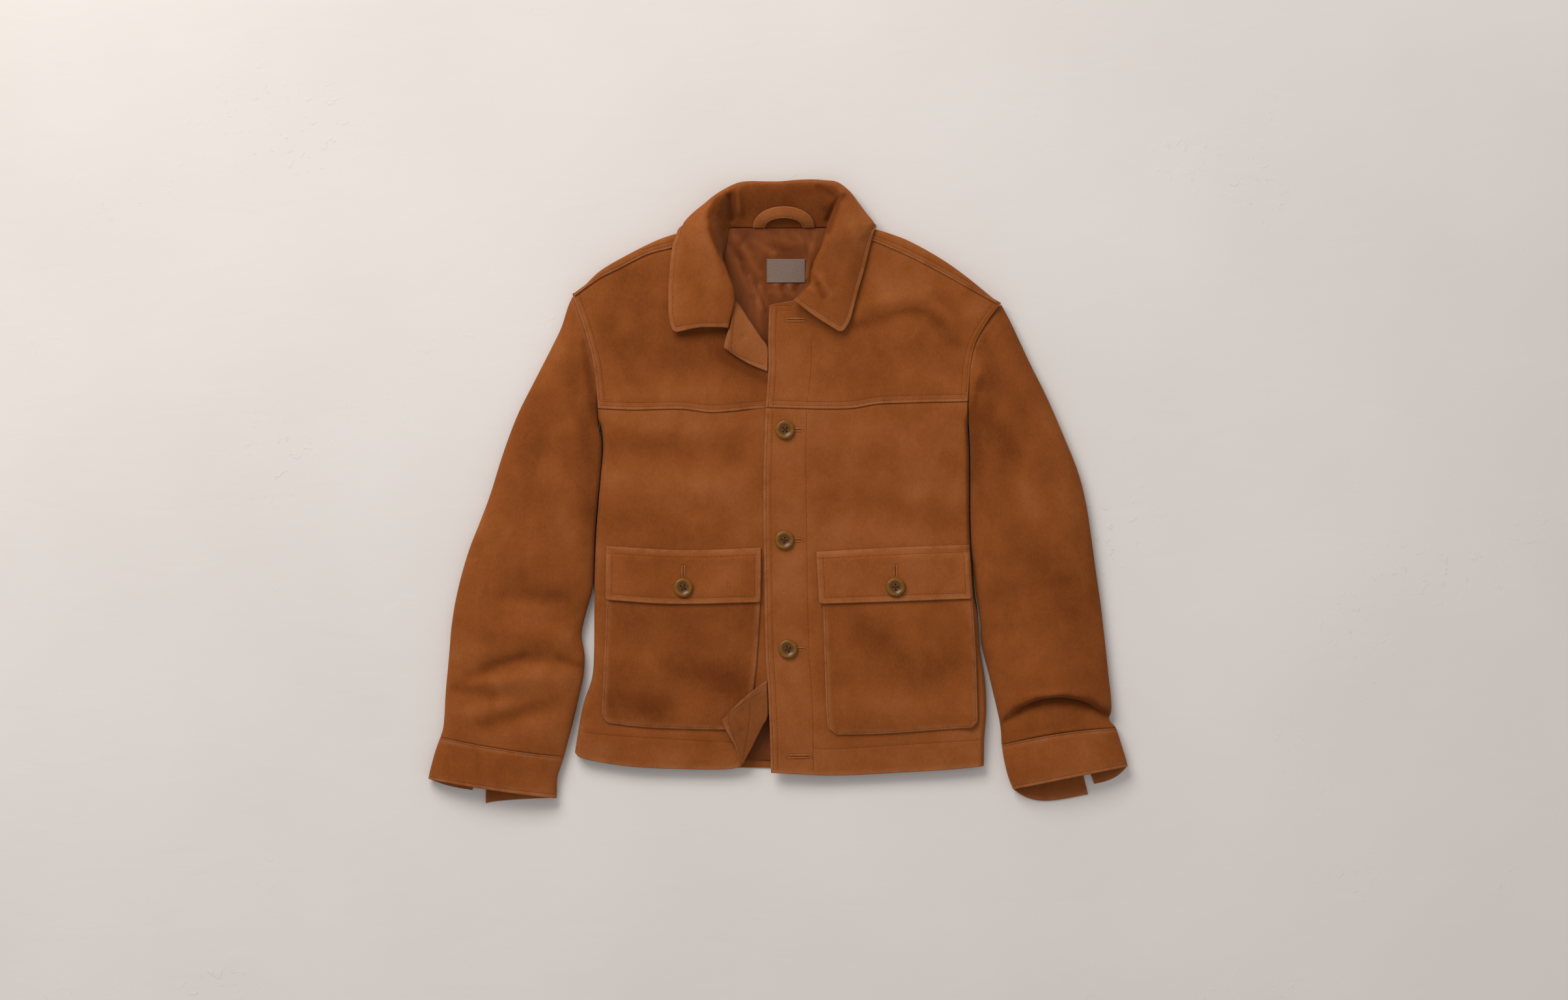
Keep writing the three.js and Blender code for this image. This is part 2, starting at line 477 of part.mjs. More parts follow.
const SLEEVE_RIGHT = table(SLEEVE_COLUMNS, [
  [274.6, 230.5, 234.9, 88, 15.5, 0, 1],
  [280, 220.5, 235.2, 80, 18, 0, 0.9],
  [288, 205, 235.7, 70, 21.5, 0, 0.7],
  [309, 160, 236.2, 54, 23.5, 0, 0.4],
  [330, 118, 236.5, 36, 25, 0, 0.15],
  [351, 70, 236.5, 14, 26, 0, 0],
  [369, 25, 236.6, -10, 26, 0, 0],
  [379, -14, 237, -35, 26, 0, 0],
  [385, -52, 238, -62, 26, 0, 0],
  [391, -96, 240.3, -95, 25.5, 0, 0],
  [397, -138, 243.6, -127, 25, 0, 0],
  [401, -172, 248.4, -158, 25, 0, 0],
  [404.5, -204, 250.2, -188, 25, 0, 0],
  [407, -228, 257, -216, 26, 2, 0],
  [409.5, -250, 264.5, -247, 28, 8, 0],
  [410.5, -264, 269.4, -268, 30.5, 18, 0],
  [410, -271.5, 271.6, -278, 29, 24, 0],
  [409, -275, 272.6, -283, 24, 26.5, 0],
  [407.5, -278, 273.2, -287, 18.5, 33, 0],
  [407.8, -281, 273.8, -291, 16, 37, 0],
  [409.8, -284, 274.2, -295, 17.5, 30, 0],
  [412.2, -286.5, 274.6, -300, 20, 17, 0],
  [415.6, -290, 275, -311.4, 21.5, 4, 0],
]);
const SLEEVE_EDGE_Z = 7;
const ARMHOLE_CLEAR = 0.45;
function sectionHeight(angle, crown, edge) {
  const lobe = Math.abs(Math.sin(angle));
  if (Math.sin(angle) >= -1e-9) return edge + (crown - edge) * lobe ** 0.75;
  return edge * (1 - Math.min(1, lobe / 0.5) ** 0.6);
}
function sleeveGrid(rows, armhole, isLeft) {
  const first = rows[0];
  const aroundCount = 20;
  return rows.map((row) => Array.from({ length: aroundCount }, (_, k) => {
    const angle = (2 * Math.PI * k) / aroundCount;
    const share = (1 - Math.cos(angle)) / 2;
    const spanX = row.innerX - row.outerX;
    const spanY = row.innerY - row.outerY;
    const seamY = mix(first.outerY, first.innerY, share);
    const clear = isLeft ? -ARMHOLE_CLEAR : ARMHOLE_CLEAR;
    const seamBow = armhole(seamY) - mix(first.outerX, first.innerX, share) + clear;
    const hump = 4 * share * (1 - share);
    const onTop = Math.sin(angle) > 0;
    const bow = onTop ? row.bow * hump : 0;
    const length = Math.hypot(spanX, spanY);
    const aside = isLeft ? 1 : -1;
    const x = row.outerX + spanX * share + seamBow * row.armhole * ramp(0, 0.12, hump)
      - (aside * bow * spanY) / length;
    const y = row.outerY + spanY * share + (aside * bow * spanX) / length;
    const soft = onTop ? folds(SLEEVE_FOLDS, x, y) * Math.sin(angle) * (1 - row.armhole) : 0;
    return new THREE.Vector3(x, y, sectionHeight(angle, row.crown, SLEEVE_EDGE_Z) + soft);
  }));
}
add('sleeve_left', wall(sleeveGrid(SLEEVE_LEFT, armholeLeft, true), SUEDE, { wrap: true, turned: true }),
  SUEDE_TAN);
add('sleeve_right', wall(sleeveGrid(SLEEVE_RIGHT, armholeRight, false), SUEDE, { wrap: true }), SUEDE_TAN);

// Cuffs: a band from one side of the slit in the back, round the front, to the slit's other side.
// outer and inner are the band's ends in plan at each row; drop is how far the back hangs below the front
// beside the slit. The outer tab's hem curves up to the front's, and the inner tab's by its own power.
const OUTER_TAB_POWER = 3;
const INNER_TAB_POWER = { left: 0.8, right: 4.5 };
const CUFF_COLUMNS = ['outerX', 'outerY', 'innerX', 'innerY', 'crown', 'slitOuter', 'slitInner', 'dropOuter',
  'dropInner', 'bow'];
const CUFF_LEFT = table(CUFF_COLUMNS, [
  [-415.9, -302.1, -263.7, -327.1, 23.5, 0.385, 0.405, 0, 0, -2],
  [-422, -319, -268, -340, 24, 0.375, 0.42, 1.5, 4, -1],
  [-427, -337, -272, -354, 24.5, 0.36, 0.44, 4, 10, -1],
  [-431, -353.5, -272.6, -377.6, 25, 0.346, 0.463, 6.5, 19.8, -1],
]);
const CUFF_RIGHT = table(CUFF_COLUMNS, [
  [416.1, -290.9, 275.1, -312, 23.5, 0.335, 0.35, 0, 0, 4],
  [421, -306, 278, -330, 24.5, 0.33, 0.36, 3, 7, 3],
  [426, -322, 282.5, -349, 25.5, 0.32, 0.37, 8, 16, 2],
  [430.7, -338, 289, -366.5, 26, 0.307, 0.378, 14, 25, 1],
]);
function cuffGrid(rows, isLeft, innerTabPower) {
  const back = 6;
  const front = 14;
  return rows.map((row) => {
    const place = (angle, drop) => {
      const share = (1 - Math.cos(angle)) / 2;
      const hump = 4 * share * (1 - share);
      const length = Math.hypot(row.innerX - row.outerX, row.innerY - row.outerY);
      const along = [(row.innerX - row.outerX) / length, (row.innerY - row.outerY) / length];
      const aside = isLeft ? 1 : -1;
      const bow = Math.sin(angle) > 0 ? row.bow * hump : -drop;
      const x = mix(row.outerX, row.innerX, share) - aside * along[1] * bow;
      const y = mix(row.outerY, row.innerY, share) + aside * along[0] * bow;
      return new THREE.Vector3(x, y, sectionHeight(angle, row.crown, SLEEVE_EDGE_Z));
    };
    const angleOf = (share) => -Math.acos(1 - 2 * share);
    const from = angleOf(row.slitOuter);
    const until = angleOf(row.slitInner);
    const points = [];
    for (let k = 0; k < back; k += 1) {
      const angle = mix(from, 0, k / back);
      const away = 1 - (1 - Math.cos(angle)) / 2 / row.slitOuter;
      points.push(place(angle, row.dropOuter * (1 - away ** OUTER_TAB_POWER)));
    }
    for (let k = 0; k <= front; k += 1) points.push(place((Math.PI * k) / front, 0));
    for (let k = 1; k <= back; k += 1) {
      const angle = mix(-Math.PI, until, k / back);
      const away = Math.max(((1 - Math.cos(angle)) / 2 - row.slitInner) / (1 - row.slitInner), 0);
      points.push(place(angle, row.dropInner * (1 - away ** innerTabPower)));
    }
    return points;
  });
}
add('cuff_left', wall(cuffGrid(CUFF_LEFT, true, INNER_TAB_POWER.left), SUEDE, { turned: true }), SUEDE_TAN);
add('cuff_right', wall(cuffGrid(CUFF_RIGHT, false, INNER_TAB_POWER.right), SUEDE), SUEDE_TAN);

// Patch pockets and their flaps, laid on the fronts and a little puffed.
const POCKETS = {
  left: {
    left: track([[-70, -210.5], [-134, -211], [-281, -217]]),
    right: track([[-70, -20], [-138, -22], [-205, -26], [-243, -30], [-293, -36]]),
    bottom: track([[-217, -278], [-212, -284], [-162, -290], [-66, -293], [-30, -293]]),
    flapLeft: track([[-67, -211], [-133, -212]]),
    flapRight: track([[-69, -21], [-136, -21.5]]),
    flapTop: track([[-211, -67], [-115, -72], [-21, -69]]),
    flapBottom: track([[-212, -133], [-132, -138], [-21, -136]]),
  },
  right: {
    left: track([[-76, 52], [-138, 55], [-205, 57], [-265, 59], [-285, 60.5], [-299, 63]]),
    right: track([[-70, 236], [-134, 239], [-200, 243], [-292, 245.5]]),
    bottom: track([[60, -290], [66, -296.5], [76, -299], [126, -298], [210, -292], [238, -291],
      [245, -286]]),
    flapLeft: track([[-74, 47], [-138, 50.5]]),
    flapRight: track([[-65, 235], [-132, 238]]),
    flapTop: track([[47, -74], [140, -69], [235, -65.5]]),
    flapBottom: track([[50.5, -138], [144, -135], [238, -131.5]]),
  },
};
const POCKET_COLUMNS = [0, 0.04, 0.14, 0.34, 0.56, 0.78, 0.93, 0.965, 0.982, 1]
  .map((t) => (x0, x1) => mix(x0, x1, t));
const pocketTop = (side) => (x, y) => {
  const pocket = POCKETS[side];
  const across = (x - pocket.left(y)) / (pocket.right(y) - pocket.left(y));
  const up = (y - pocket.bottom(x)) / (-78 - pocket.bottom(x));
  const inside = (t) => Math.sqrt(Math.max(0, 1 - (2 * Math.min(Math.max(t, 0), 1) - 1) ** 4));
  const puff = POCKET_PUFF * inside(across) * inside(Math.min(up, 0.5));
  const overSide = side === 'right' ? POCKET_OVER_SIDE * ramp(220, 238, x) : 0;
  const underFlap = 1 - 0.7 * ramp(-140, -90, y);
  return frontTop(x, y, side) + POCKET_LIFT + SUEDE + overSide + puff * underFlap;
};
const flapTopHeight = (side) => (x, y) => {
  const onPocket = 1 - ramp(-82, -72, y);
  const onFront = frontTop(x, y, side) + FLAP_LIFT;
  return mix(onFront, pocketTop(side)(x, y) + FLAP_OVER_POCKET, onPocket) + FLAP_RISE;
};
for (const side of ['left', 'right']) {
  const pocket = POCKETS[side];
  add(`pocket_${side}`, wall(spread({
    left: pocket.left, right: pocket.right, bottom: pocket.bottom, top: level(-86),
  }, POCKET_COLUMNS, [0, 0.06, 0.16, 0.3, 0.48, 0.66, 0.84, 1], pocketTop(side)),
  SUEDE, { vertical: true }), SUEDE_TAN);
  add(`pocket_flap_${side}`, wall(spread({
    left: pocket.flapLeft, right: pocket.flapRight, bottom: pocket.flapBottom, top: pocket.flapTop,
  }, POCKET_COLUMNS, [0, 0.2, 0.45, 0.7, 0.85, 1], flapTopHeight(side)),
  SUEDE, { vertical: true }), SUEDE_TAN);
}

// Buttons: turned discs with a rolled rim, a dish and four holes for the thread.
const wasm = await Module();
wasm.setup();
function solid(geometry) {
  const bare = geometry.clone();
  bare.deleteAttribute('normal');
  bare.deleteAttribute('uv');
  const merged = mergeVertices(bare, 1e-4);
  return new wasm.Manifold(new wasm.Mesh({
    numProp: 3,
    vertProperties: new Float32Array(merged.attributes.position.array),
    triVerts: new Uint32Array(merged.index.array),
  }));
}
function buttonBody() {
  const r = BUTTON_RADIUS;
  const profile = [[0, 0], [r * 0.8, 0], [r, 1.6], [r * 0.95, 3.4], [r * 0.8, BUTTON_THICK],
    [r * 0.62, 3.9], [r * 0.48, 2.6], [0, 2.4]].map(([x, y]) => new THREE.Vector2(x, y));
  let body = solid(new THREE.LatheGeometry(profile, 16).rotateX(Math.PI / 2));
  const { radius, fromMiddle, sides } = THREAD_HOLE;
  for (const [x, y] of [[1, 1], [-1, 1], [-1, -1], [1, -1]]) {
    const hole = new THREE.CylinderGeometry(radius, radius, 2 * BUTTON_THICK, sides).rotateX(Math.PI / 2);
    hole.translate(x * fromMiddle, y * fromMiddle, BUTTON_THICK / 2);
    body = body.subtract(solid(hole));
  }
  const mesh = body.getMesh();
  const geometry = new THREE.BufferGeometry();
  geometry.setAttribute('position', new THREE.BufferAttribute(new Float32Array(mesh.vertProperties), 3));
  geometry.setIndex(new THREE.BufferAttribute(new Uint32Array(mesh.triVerts), 1));
  geometry.computeVertexNormals();
  return geometry;
}
const BUTTONS = table(['name', 'x', 'y', 'on'], [
  ['button_front_1', 8.4, 76, 'front'],
  ['button_front_2', 7.8, -59.6, 'front'],
  ['button_front_3', 12, -193.4, 'front'],
  ['button_flap_left', -116.4, -117.8, 'left'],
  ['button_flap_right', 144, -117.2, 'right'],
]);
for (const button of BUTTONS) {
  const surface = button.on === 'front' ? overFrontTop : flapTopHeight(button.on);
  const reach = steps(12).map((t) => [Math.cos(2 * Math.PI * t), Math.sin(2 * Math.PI * t)]);
  const seat = Math.max(surface(button.x, button.y), ...reach.map(([a, b]) => surface(
    button.x + a * BUTTON_RADIUS, button.y + b * BUTTON_RADIUS)));
  add(button.name, buttonBody().translate(button.x, button.y, seat + SEAM_GAP), HORN);
}

export default jacket;
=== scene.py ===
# %% [markdown]
# # A suede jacket, laid flat
#
# The real thing is a boxy suede shirt jacket lying on its back on a pale plaster floor, photographed from
# straight above. Almost all of it is one material, so the likeness rests on three things: the drape of the
# leather, the seams and rows of stitches, and the uneven nap of the suede. This lesson builds them in that
# order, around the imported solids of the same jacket.

import math

import bpy
import numpy as np
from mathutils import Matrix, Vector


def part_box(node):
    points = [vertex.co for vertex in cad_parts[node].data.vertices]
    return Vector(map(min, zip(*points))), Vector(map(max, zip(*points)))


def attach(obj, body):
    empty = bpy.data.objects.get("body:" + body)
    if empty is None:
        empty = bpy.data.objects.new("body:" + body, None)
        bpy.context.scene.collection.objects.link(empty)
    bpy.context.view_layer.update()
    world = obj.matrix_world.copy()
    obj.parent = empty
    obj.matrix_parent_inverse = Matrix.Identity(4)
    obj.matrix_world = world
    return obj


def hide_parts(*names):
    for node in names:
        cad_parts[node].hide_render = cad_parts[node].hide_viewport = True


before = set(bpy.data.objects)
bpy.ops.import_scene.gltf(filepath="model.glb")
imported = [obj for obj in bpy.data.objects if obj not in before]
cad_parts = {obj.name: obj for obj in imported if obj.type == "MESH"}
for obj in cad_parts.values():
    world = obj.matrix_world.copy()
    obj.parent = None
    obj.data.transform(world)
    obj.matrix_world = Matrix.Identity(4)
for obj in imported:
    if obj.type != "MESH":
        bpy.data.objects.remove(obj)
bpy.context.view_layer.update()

# %% [markdown]
# ## Camera, floor and light
#
# The photo was taken from straight above through a long lens, so nothing leans. A perspective camera four and
# a half metres up gives the same view. Its width is set from the floor it has to see: 1.926 m.

# %% Camera
MM = 0.001
VIEW_WIDTH = 1926.4 * MM
VIEW_CENTRE = (7.2 * MM, -10.4 * MM)
LENS = 85.0
SENSOR = 36.0

camera_data = bpy.data.cameras.new("overhead_camera")
camera_data.lens = LENS
camera_data.sensor_width = SENSOR
camera = bpy.data.objects.new("overhead_camera", camera_data)
camera.location = (*VIEW_CENTRE, VIEW_WIDTH * LENS / SENSOR + 18 * MM)
bpy.context.scene.collection.objects.link(camera)
bpy.context.scene.camera = camera
bpy.context.scene.view_settings.view_transform = "Standard"
print("camera height", round(camera.location.z, 3), "m")

# %% [markdown]
# The floor is trowelled plaster: pale, matte and nearly plain, with a few thin scratches. The light is one big
# soft window, high on the upper left, with a pale room filling the shadows.


# %% Small helpers for shader nodes
def add_node(tree, kind, **sockets):
    """A shader node with its inputs set. Numbers are values, and (node, output) pairs are links."""
    settings = sockets.pop("settings", {})
    made = tree.nodes.new(kind)
    for name, value in settings.items():
        setattr(made, name, value)
    for name, value in sockets.items():
        socket = made.inputs[name.replace("_", " ")] if isinstance(name, str) else made.inputs[name]
        if isinstance(value, bpy.types.NodeSocket):
            tree.links.new(value, socket)
        else:
            socket.default_value = value
    return made


def new_material(name, **shader_values):
    material = bpy.data.materials.new(name)
    material.use_nodes = True
    tree = material.node_tree
    shader = tree.nodes["Principled BSDF"]
    for socket, value in shader_values.items():
        shader.inputs[socket.replace("_", " ")].default_value = value
    place = tree.nodes.new("ShaderNodeTexCoord").outputs["Object"]
    return material, tree, shader, place


def noise(tree, place, size_mm, detail=3.0, rough=0.5, stretch=(1, 1, 1), warp=0.0):
    """Soft random blotches about size_mm across, from 0 to 1."""
    turned = add_node(tree, "ShaderNodeMapping", Vector=place, Scale=tuple(s / (size_mm * MM) for s in stretch))
    made = add_node(tree, "ShaderNodeTexNoise", Vector=turned.outputs[0], Scale=1.0, Detail=detail,
                    Roughness=rough, Distortion=warp)
    return made.outputs["Fac"]


def sums(tree, operation, a, b):
    made = tree.nodes.new("ShaderNodeMath")
    made.operation = operation
    for socket, value in zip(made.inputs, (a, b)):
        if isinstance(value, bpy.types.NodeSocket):
            tree.links.new(value, socket)
        else:
            socket.default_value = value
    return made.outputs[0]


def spread_range(tree, value, low, high, to_low=0.0, to_high=1.0):
    made = add_node(tree, "ShaderNodeMapRange", Value=value, settings={"interpolation_type": "SMOOTHSTEP"})
    for name, number in (("From Min", low), ("From Max", high), ("To Min", to_low), ("To Max", to_high)):
        made.inputs[name].default_value = number
    return made.outputs["Result"]


def colour_steps(tree, value, stops):
    ramp_node = tree.nodes.new("ShaderNodeValToRGB")
    tree.links.new(value, ramp_node.inputs[0])
    stops = list(stops)
    elements = ramp_node.color_ramp.elements
    while len(elements) < len(stops):
        elements.new(0.5)
    for element, (position, colour) in zip(elements, stops):
        element.position = position
        element.color = (*colour, 1)
    return ramp_node.outputs["Color"]


def blend_colour(tree, share, a, b):
    made = tree.nodes.new("ShaderNodeMix")
    made.data_type = "RGBA"
    for socket, value in ((made.inputs[0], share), (made.inputs[6], a), (made.inputs[7], b)):
        if isinstance(value, bpy.types.NodeSocket):
            tree.links.new(value, socket)
        elif isinstance(value, tuple):
            socket.default_value = (*value, 1)
        else:
            socket.default_value = value
    return made.outputs[2]


def bump(tree, height, depth_mm, strength=1.0, under=None):
    made = add_node(tree, "ShaderNodeBump", Height=height, Strength=strength, Distance=depth_mm * MM)
    if under is not None:
        tree.links.new(under, made.inputs["Normal"])
    return made.outputs[0]


# %% [markdown]
# The plaster reads its colour from very broad noise and its scratches from fine noise that shows in patches.
# The plane is staged, so it belongs to the picture and not to the jacket.

# %% Floor and light
plaster, tree, shader, place = new_material("trowelled_plaster", Roughness=0.85)
shader.inputs["Specular IOR Level"].default_value = 0.2
haze = noise(tree, place, 420, 3, 0.5)
shader_colour = colour_steps(tree, haze, [(0.3, (0.71, 0.655, 0.61)), (0.7, (0.755, 0.70, 0.655))])
tree.links.new(shader_colour, shader.inputs["Base Color"])
patches = spread_range(tree, noise(tree, place, 260, 2, 0.5), 0.55, 0.7)
scuffs = sums(tree, "MULTIPLY", spread_range(tree, noise(tree, place, 14, 5, 0.62, warp=0.6), 0.6, 0.66), patches)
trowel = noise(tree, place, 90, 4, 0.5, stretch=(1, 2.2, 1), warp=0.8)
relief = bump(tree, scuffs, 0.5, 0.5, bump(tree, trowel, 1.2, 0.35))
tree.links.new(relief, shader.inputs["Normal"])

bpy.ops.mesh.primitive_plane_add(size=7.0, location=(0, 0, -0.0004))
floor = bpy.context.object
floor.name = "plaster_floor"
bpy.ops.object.transform_apply(location=True, rotation=True, scale=True)
floor.data.materials.append(plaster)

window_data = bpy.data.lights.new("window", "AREA")
window_data.shape = "RECTANGLE"
window_data.size = 2.6
window_data.size_y = 1.8
window_data.energy = 113
window_data.color = (1.0, 0.985, 0.965)
window = bpy.data.objects.new("window", window_data)
window.location = (-1.5, 2.5, 2.4)
aim = np.array([0.1, -0.1, 0.0]) - np.array(window.location)
window.rotation_euler = (math.acos(-aim[2] / np.linalg.norm(aim)), 0, math.atan2(-aim[0], aim[1]))
bpy.context.scene.collection.objects.link(window)

room = bpy.data.worlds.new("pale_room")
room.use_nodes = True
room.node_tree.nodes["Background"].inputs["Color"].default_value = (0.98, 0.98, 1.0, 1)
room.node_tree.nodes["Background"].inputs["Strength"].default_value = 0.5
bpy.context.scene.world = room
print("floor, window and room are ready")

# %% [markdown]
# ## Lines, heights and folds
#
# A garment laid flat is easiest to describe as a tailor would: lines for its edges and seams, and a height for
# each point of its top face. All numbers here are millimetres, with x to the viewer's right, y towards the
# collar and z up. `track` runs a smooth line through a few measured points.


# %% Lines and heights
def track(rows):
    """A smooth line through (station, value) rows, level past both ends."""
    station, value = np.array(sorted(rows), float).T
    last = len(station) - 1
    before = np.maximum(np.arange(last + 1) - 1, 0)
    after = np.minimum(np.arange(last + 1) + 1, last)
    slope = (value[after] - value[before]) / (station[after] - station[before])

    def line(at):
        at = np.clip(np.asarray(at, float), station[0], station[-1])
        k = np.clip(np.searchsorted(station, at), 1, last)
        span = station[k] - station[k - 1]
        t = (at - station[k - 1]) / span
        curve = t * (1 - t)
        return (value[k - 1] + (value[k] - value[k - 1]) * t * t * (3 - 2 * t)
                + span * (slope[k - 1] * curve * (1 - t) - slope[k] * curve * t))

    return line


def level(value):
    return lambda at: np.zeros_like(np.asarray(at, float)) + value


def shift(line, amount):
    return lambda at: line(at) + amount


def mix(a, b, t):
    return a + (b - a) * t


def ramp(start, end, value):
    t = np.clip((np.asarray(value, float) - start) / (end - start), 0, 1)
    return t * t * (3 - 2 * t)


def folds(rows, x, y):
    """The sum of soft ridges (rise above 0) and troughs (below 0), each along a line of points in plan."""
    total = np.zeros(np.shape(x))
    for *places, width, rise in rows:
        away = np.full(np.shape(x), 1e4)
        for x0, y0, x1, y1 in zip(places[::2], places[1::2], places[2::2], places[3::2]):
            dx, dy = x1 - x0, y1 - y0
            along = np.clip(((x - x0) * dx + (y - y0) * dy) / (dx * dx + dy * dy), 0, 1)
            away = np.minimum(away, np.hypot(x - x0 - along * dx, y - y0 - along * dy))
        total += rise * np.exp(-(away / width) ** 2)
    return total


def waviness(x, y, rise):
    """The faint unevenness of a hide that has been worn, as a few long waves that never line up."""
    total = np.zeros(np.shape(x))
    for length, turn, start in ((171, 0.4, 0.3), (118, 1.3, 2.1), (97, 2.3, 4.0), (73, 0.9, 1.1),
                                (61, 2.9, 5.2), (47, 1.8, 3.3)):
        total += np.sin((x * math.cos(turn) + y * math.sin(turn)) * 2 * math.pi / length + start) * length / 170
    return rise * total


arm_left = track([(240, -253), (225, -247), (195, -237), (160, -228), (130, -224), (102, -222), (88, -223)])
arm_right = track([(231, 274), (221, 266), (207, 256.3), (198, 250.8), (186, 244.4), (178, 241.6), (170, 239.4),
                   (160, 237.4), (150, 236.2), (130, 234.7), (105, 233.2), (88, 234)])
side_left = track([(88, -223), (80, -219), (60, -216), (20, -219), (-30, -223), (-60, -225), (-128, -227),
                   (-200, -227.5), (-230, -230), (-260, -240), (-290, -246), (-321, -251)])
side_right = track([(88, 234), (40, 235.8), (-20, 235.8), (-68, 237), (-128, 241), (-152, 246), (-190, 248.5),
                    (-230, 255), (-270, 257), (-306, 254.5), (-340, 254)])
hem_left = track([(-251, -321), (-246, -326), (-230, -331), (-180, -338.6), (-114, -341.6), (-60, -341.6),
                  (-45, -338)])
hem_right = track([(-9, -346), (20, -347.5), (70, -349.5), (150, -345.8), (210, -342.2), (254, -338)])
hem_back = track([(-250, -318), (-222, -329), (-114, -339), (-45, -340.5), (-10, -340.5), (100, -343),
                  (254, -335)])
yoke_seam_left = track([(-222, 102), (-180, 100), (-120, 101), (-80, 97), (-20, 102), (25, 102)])
yoke_seam_right = track([(-12, 103), (40, 101.5), (90, 102), (120, 107), (150, 108.5), (233, 110.5)])
shoulder_seam_left = track([(-251, 239), (-220, 261), (-200, 271), (-160, 291), (-130, 299), (-100, 308),
                            (-76, 315)])
shoulder_seam_right = track([(62, 319), (100, 311), (115, 308), (142, 297), (160, 289), (200, 268.5), (240, 246),
                             (273, 227.5)])
shoulder_line_left = track([(-253, 241), (-240, 252), (-220, 271), (-190, 289), (-150, 309), (-121, 318.5),
                            (-76, 327)])
shoulder_line_right = track([(62, 333), (90, 330), (117, 323), (130, 320), (160, 309), (200, 287), (230, 266),
                             (262, 240), (274, 230)])
under_edge = track([(-338, -45), (-276, -12), (-206, 25), (119, 25), (181, -15), (191, -22), (211, -35),
                    (228, -46), (236, -52), (250, -66), (270, -75), (290, -77), (316, -77)])
over_edge = track([(-346, -9), (-300, -10), (-240, -12.5), (-200, -15), (-100, -17), (0, -18), (50, -17),
                   (105, -15), (150, -12), (195, -12), (226, -10.4), (230, -8.5), (232, 4), (234, 19), (244, 34),
                   (262, 54), (280, 63), (300, 69), (320, 73)])
placket_stitch = track([(230, 40), (150, 40), (100, 35), (-50, 35), (-200, 38), (-240, 41), (-280, 42.5),
                        (-345, 43.5)])
hem_stitch_left = track([(-250, -293), (-222, -298), (-150, -303), (-66, -308), (-40, -309)])
hem_stitch_right = track([(-10, -314), (25, -312.5), (60, -316.5), (140, -312), (220, -307), (256, -305)])

# Each fold: x, y of two points or more, half width, rise.
BODY_FOLDS = [
    (-215, 48, -60, 38, 22, -2.2), (-200, 75, -80, 72, 16, 1.2), (90, -28, 230, -40, 24, -2),
    (112, 227, 146, 236, 166, 238, 187, 234, 204, 221, 213, 206, 8, 1.5),
    (98, 202, 125, 211, 148, 217, 168, 218, 184, 213, 197, 202, 7, -1.2),
    (198, 242, 216, 230, 227, 210, 230, 184, 7, -0.7), (-205, 190, -215, 120, 14, -2),
    (222, 190, 218, 120, 14, -2), (-200, -5, -60, 5, 26, 1.2), (-150, 165, -70, 190, 16, 0.9),
    (60, 60, 180, 30, 20, 0.8), (60, 0, 190, -8, 16, 0.7), (-190, 205, -140, 150, 13, -0.8),
    (150, 175, 210, 140, 14, -0.9), (90, 165, 150, 140, 18, 0.8), (-80, -20, -180, -42, 15, -0.8),
    (70, 205, 100, 212, 9, 1.0), (20, 30, 36, -20, 10, -0.5),
]

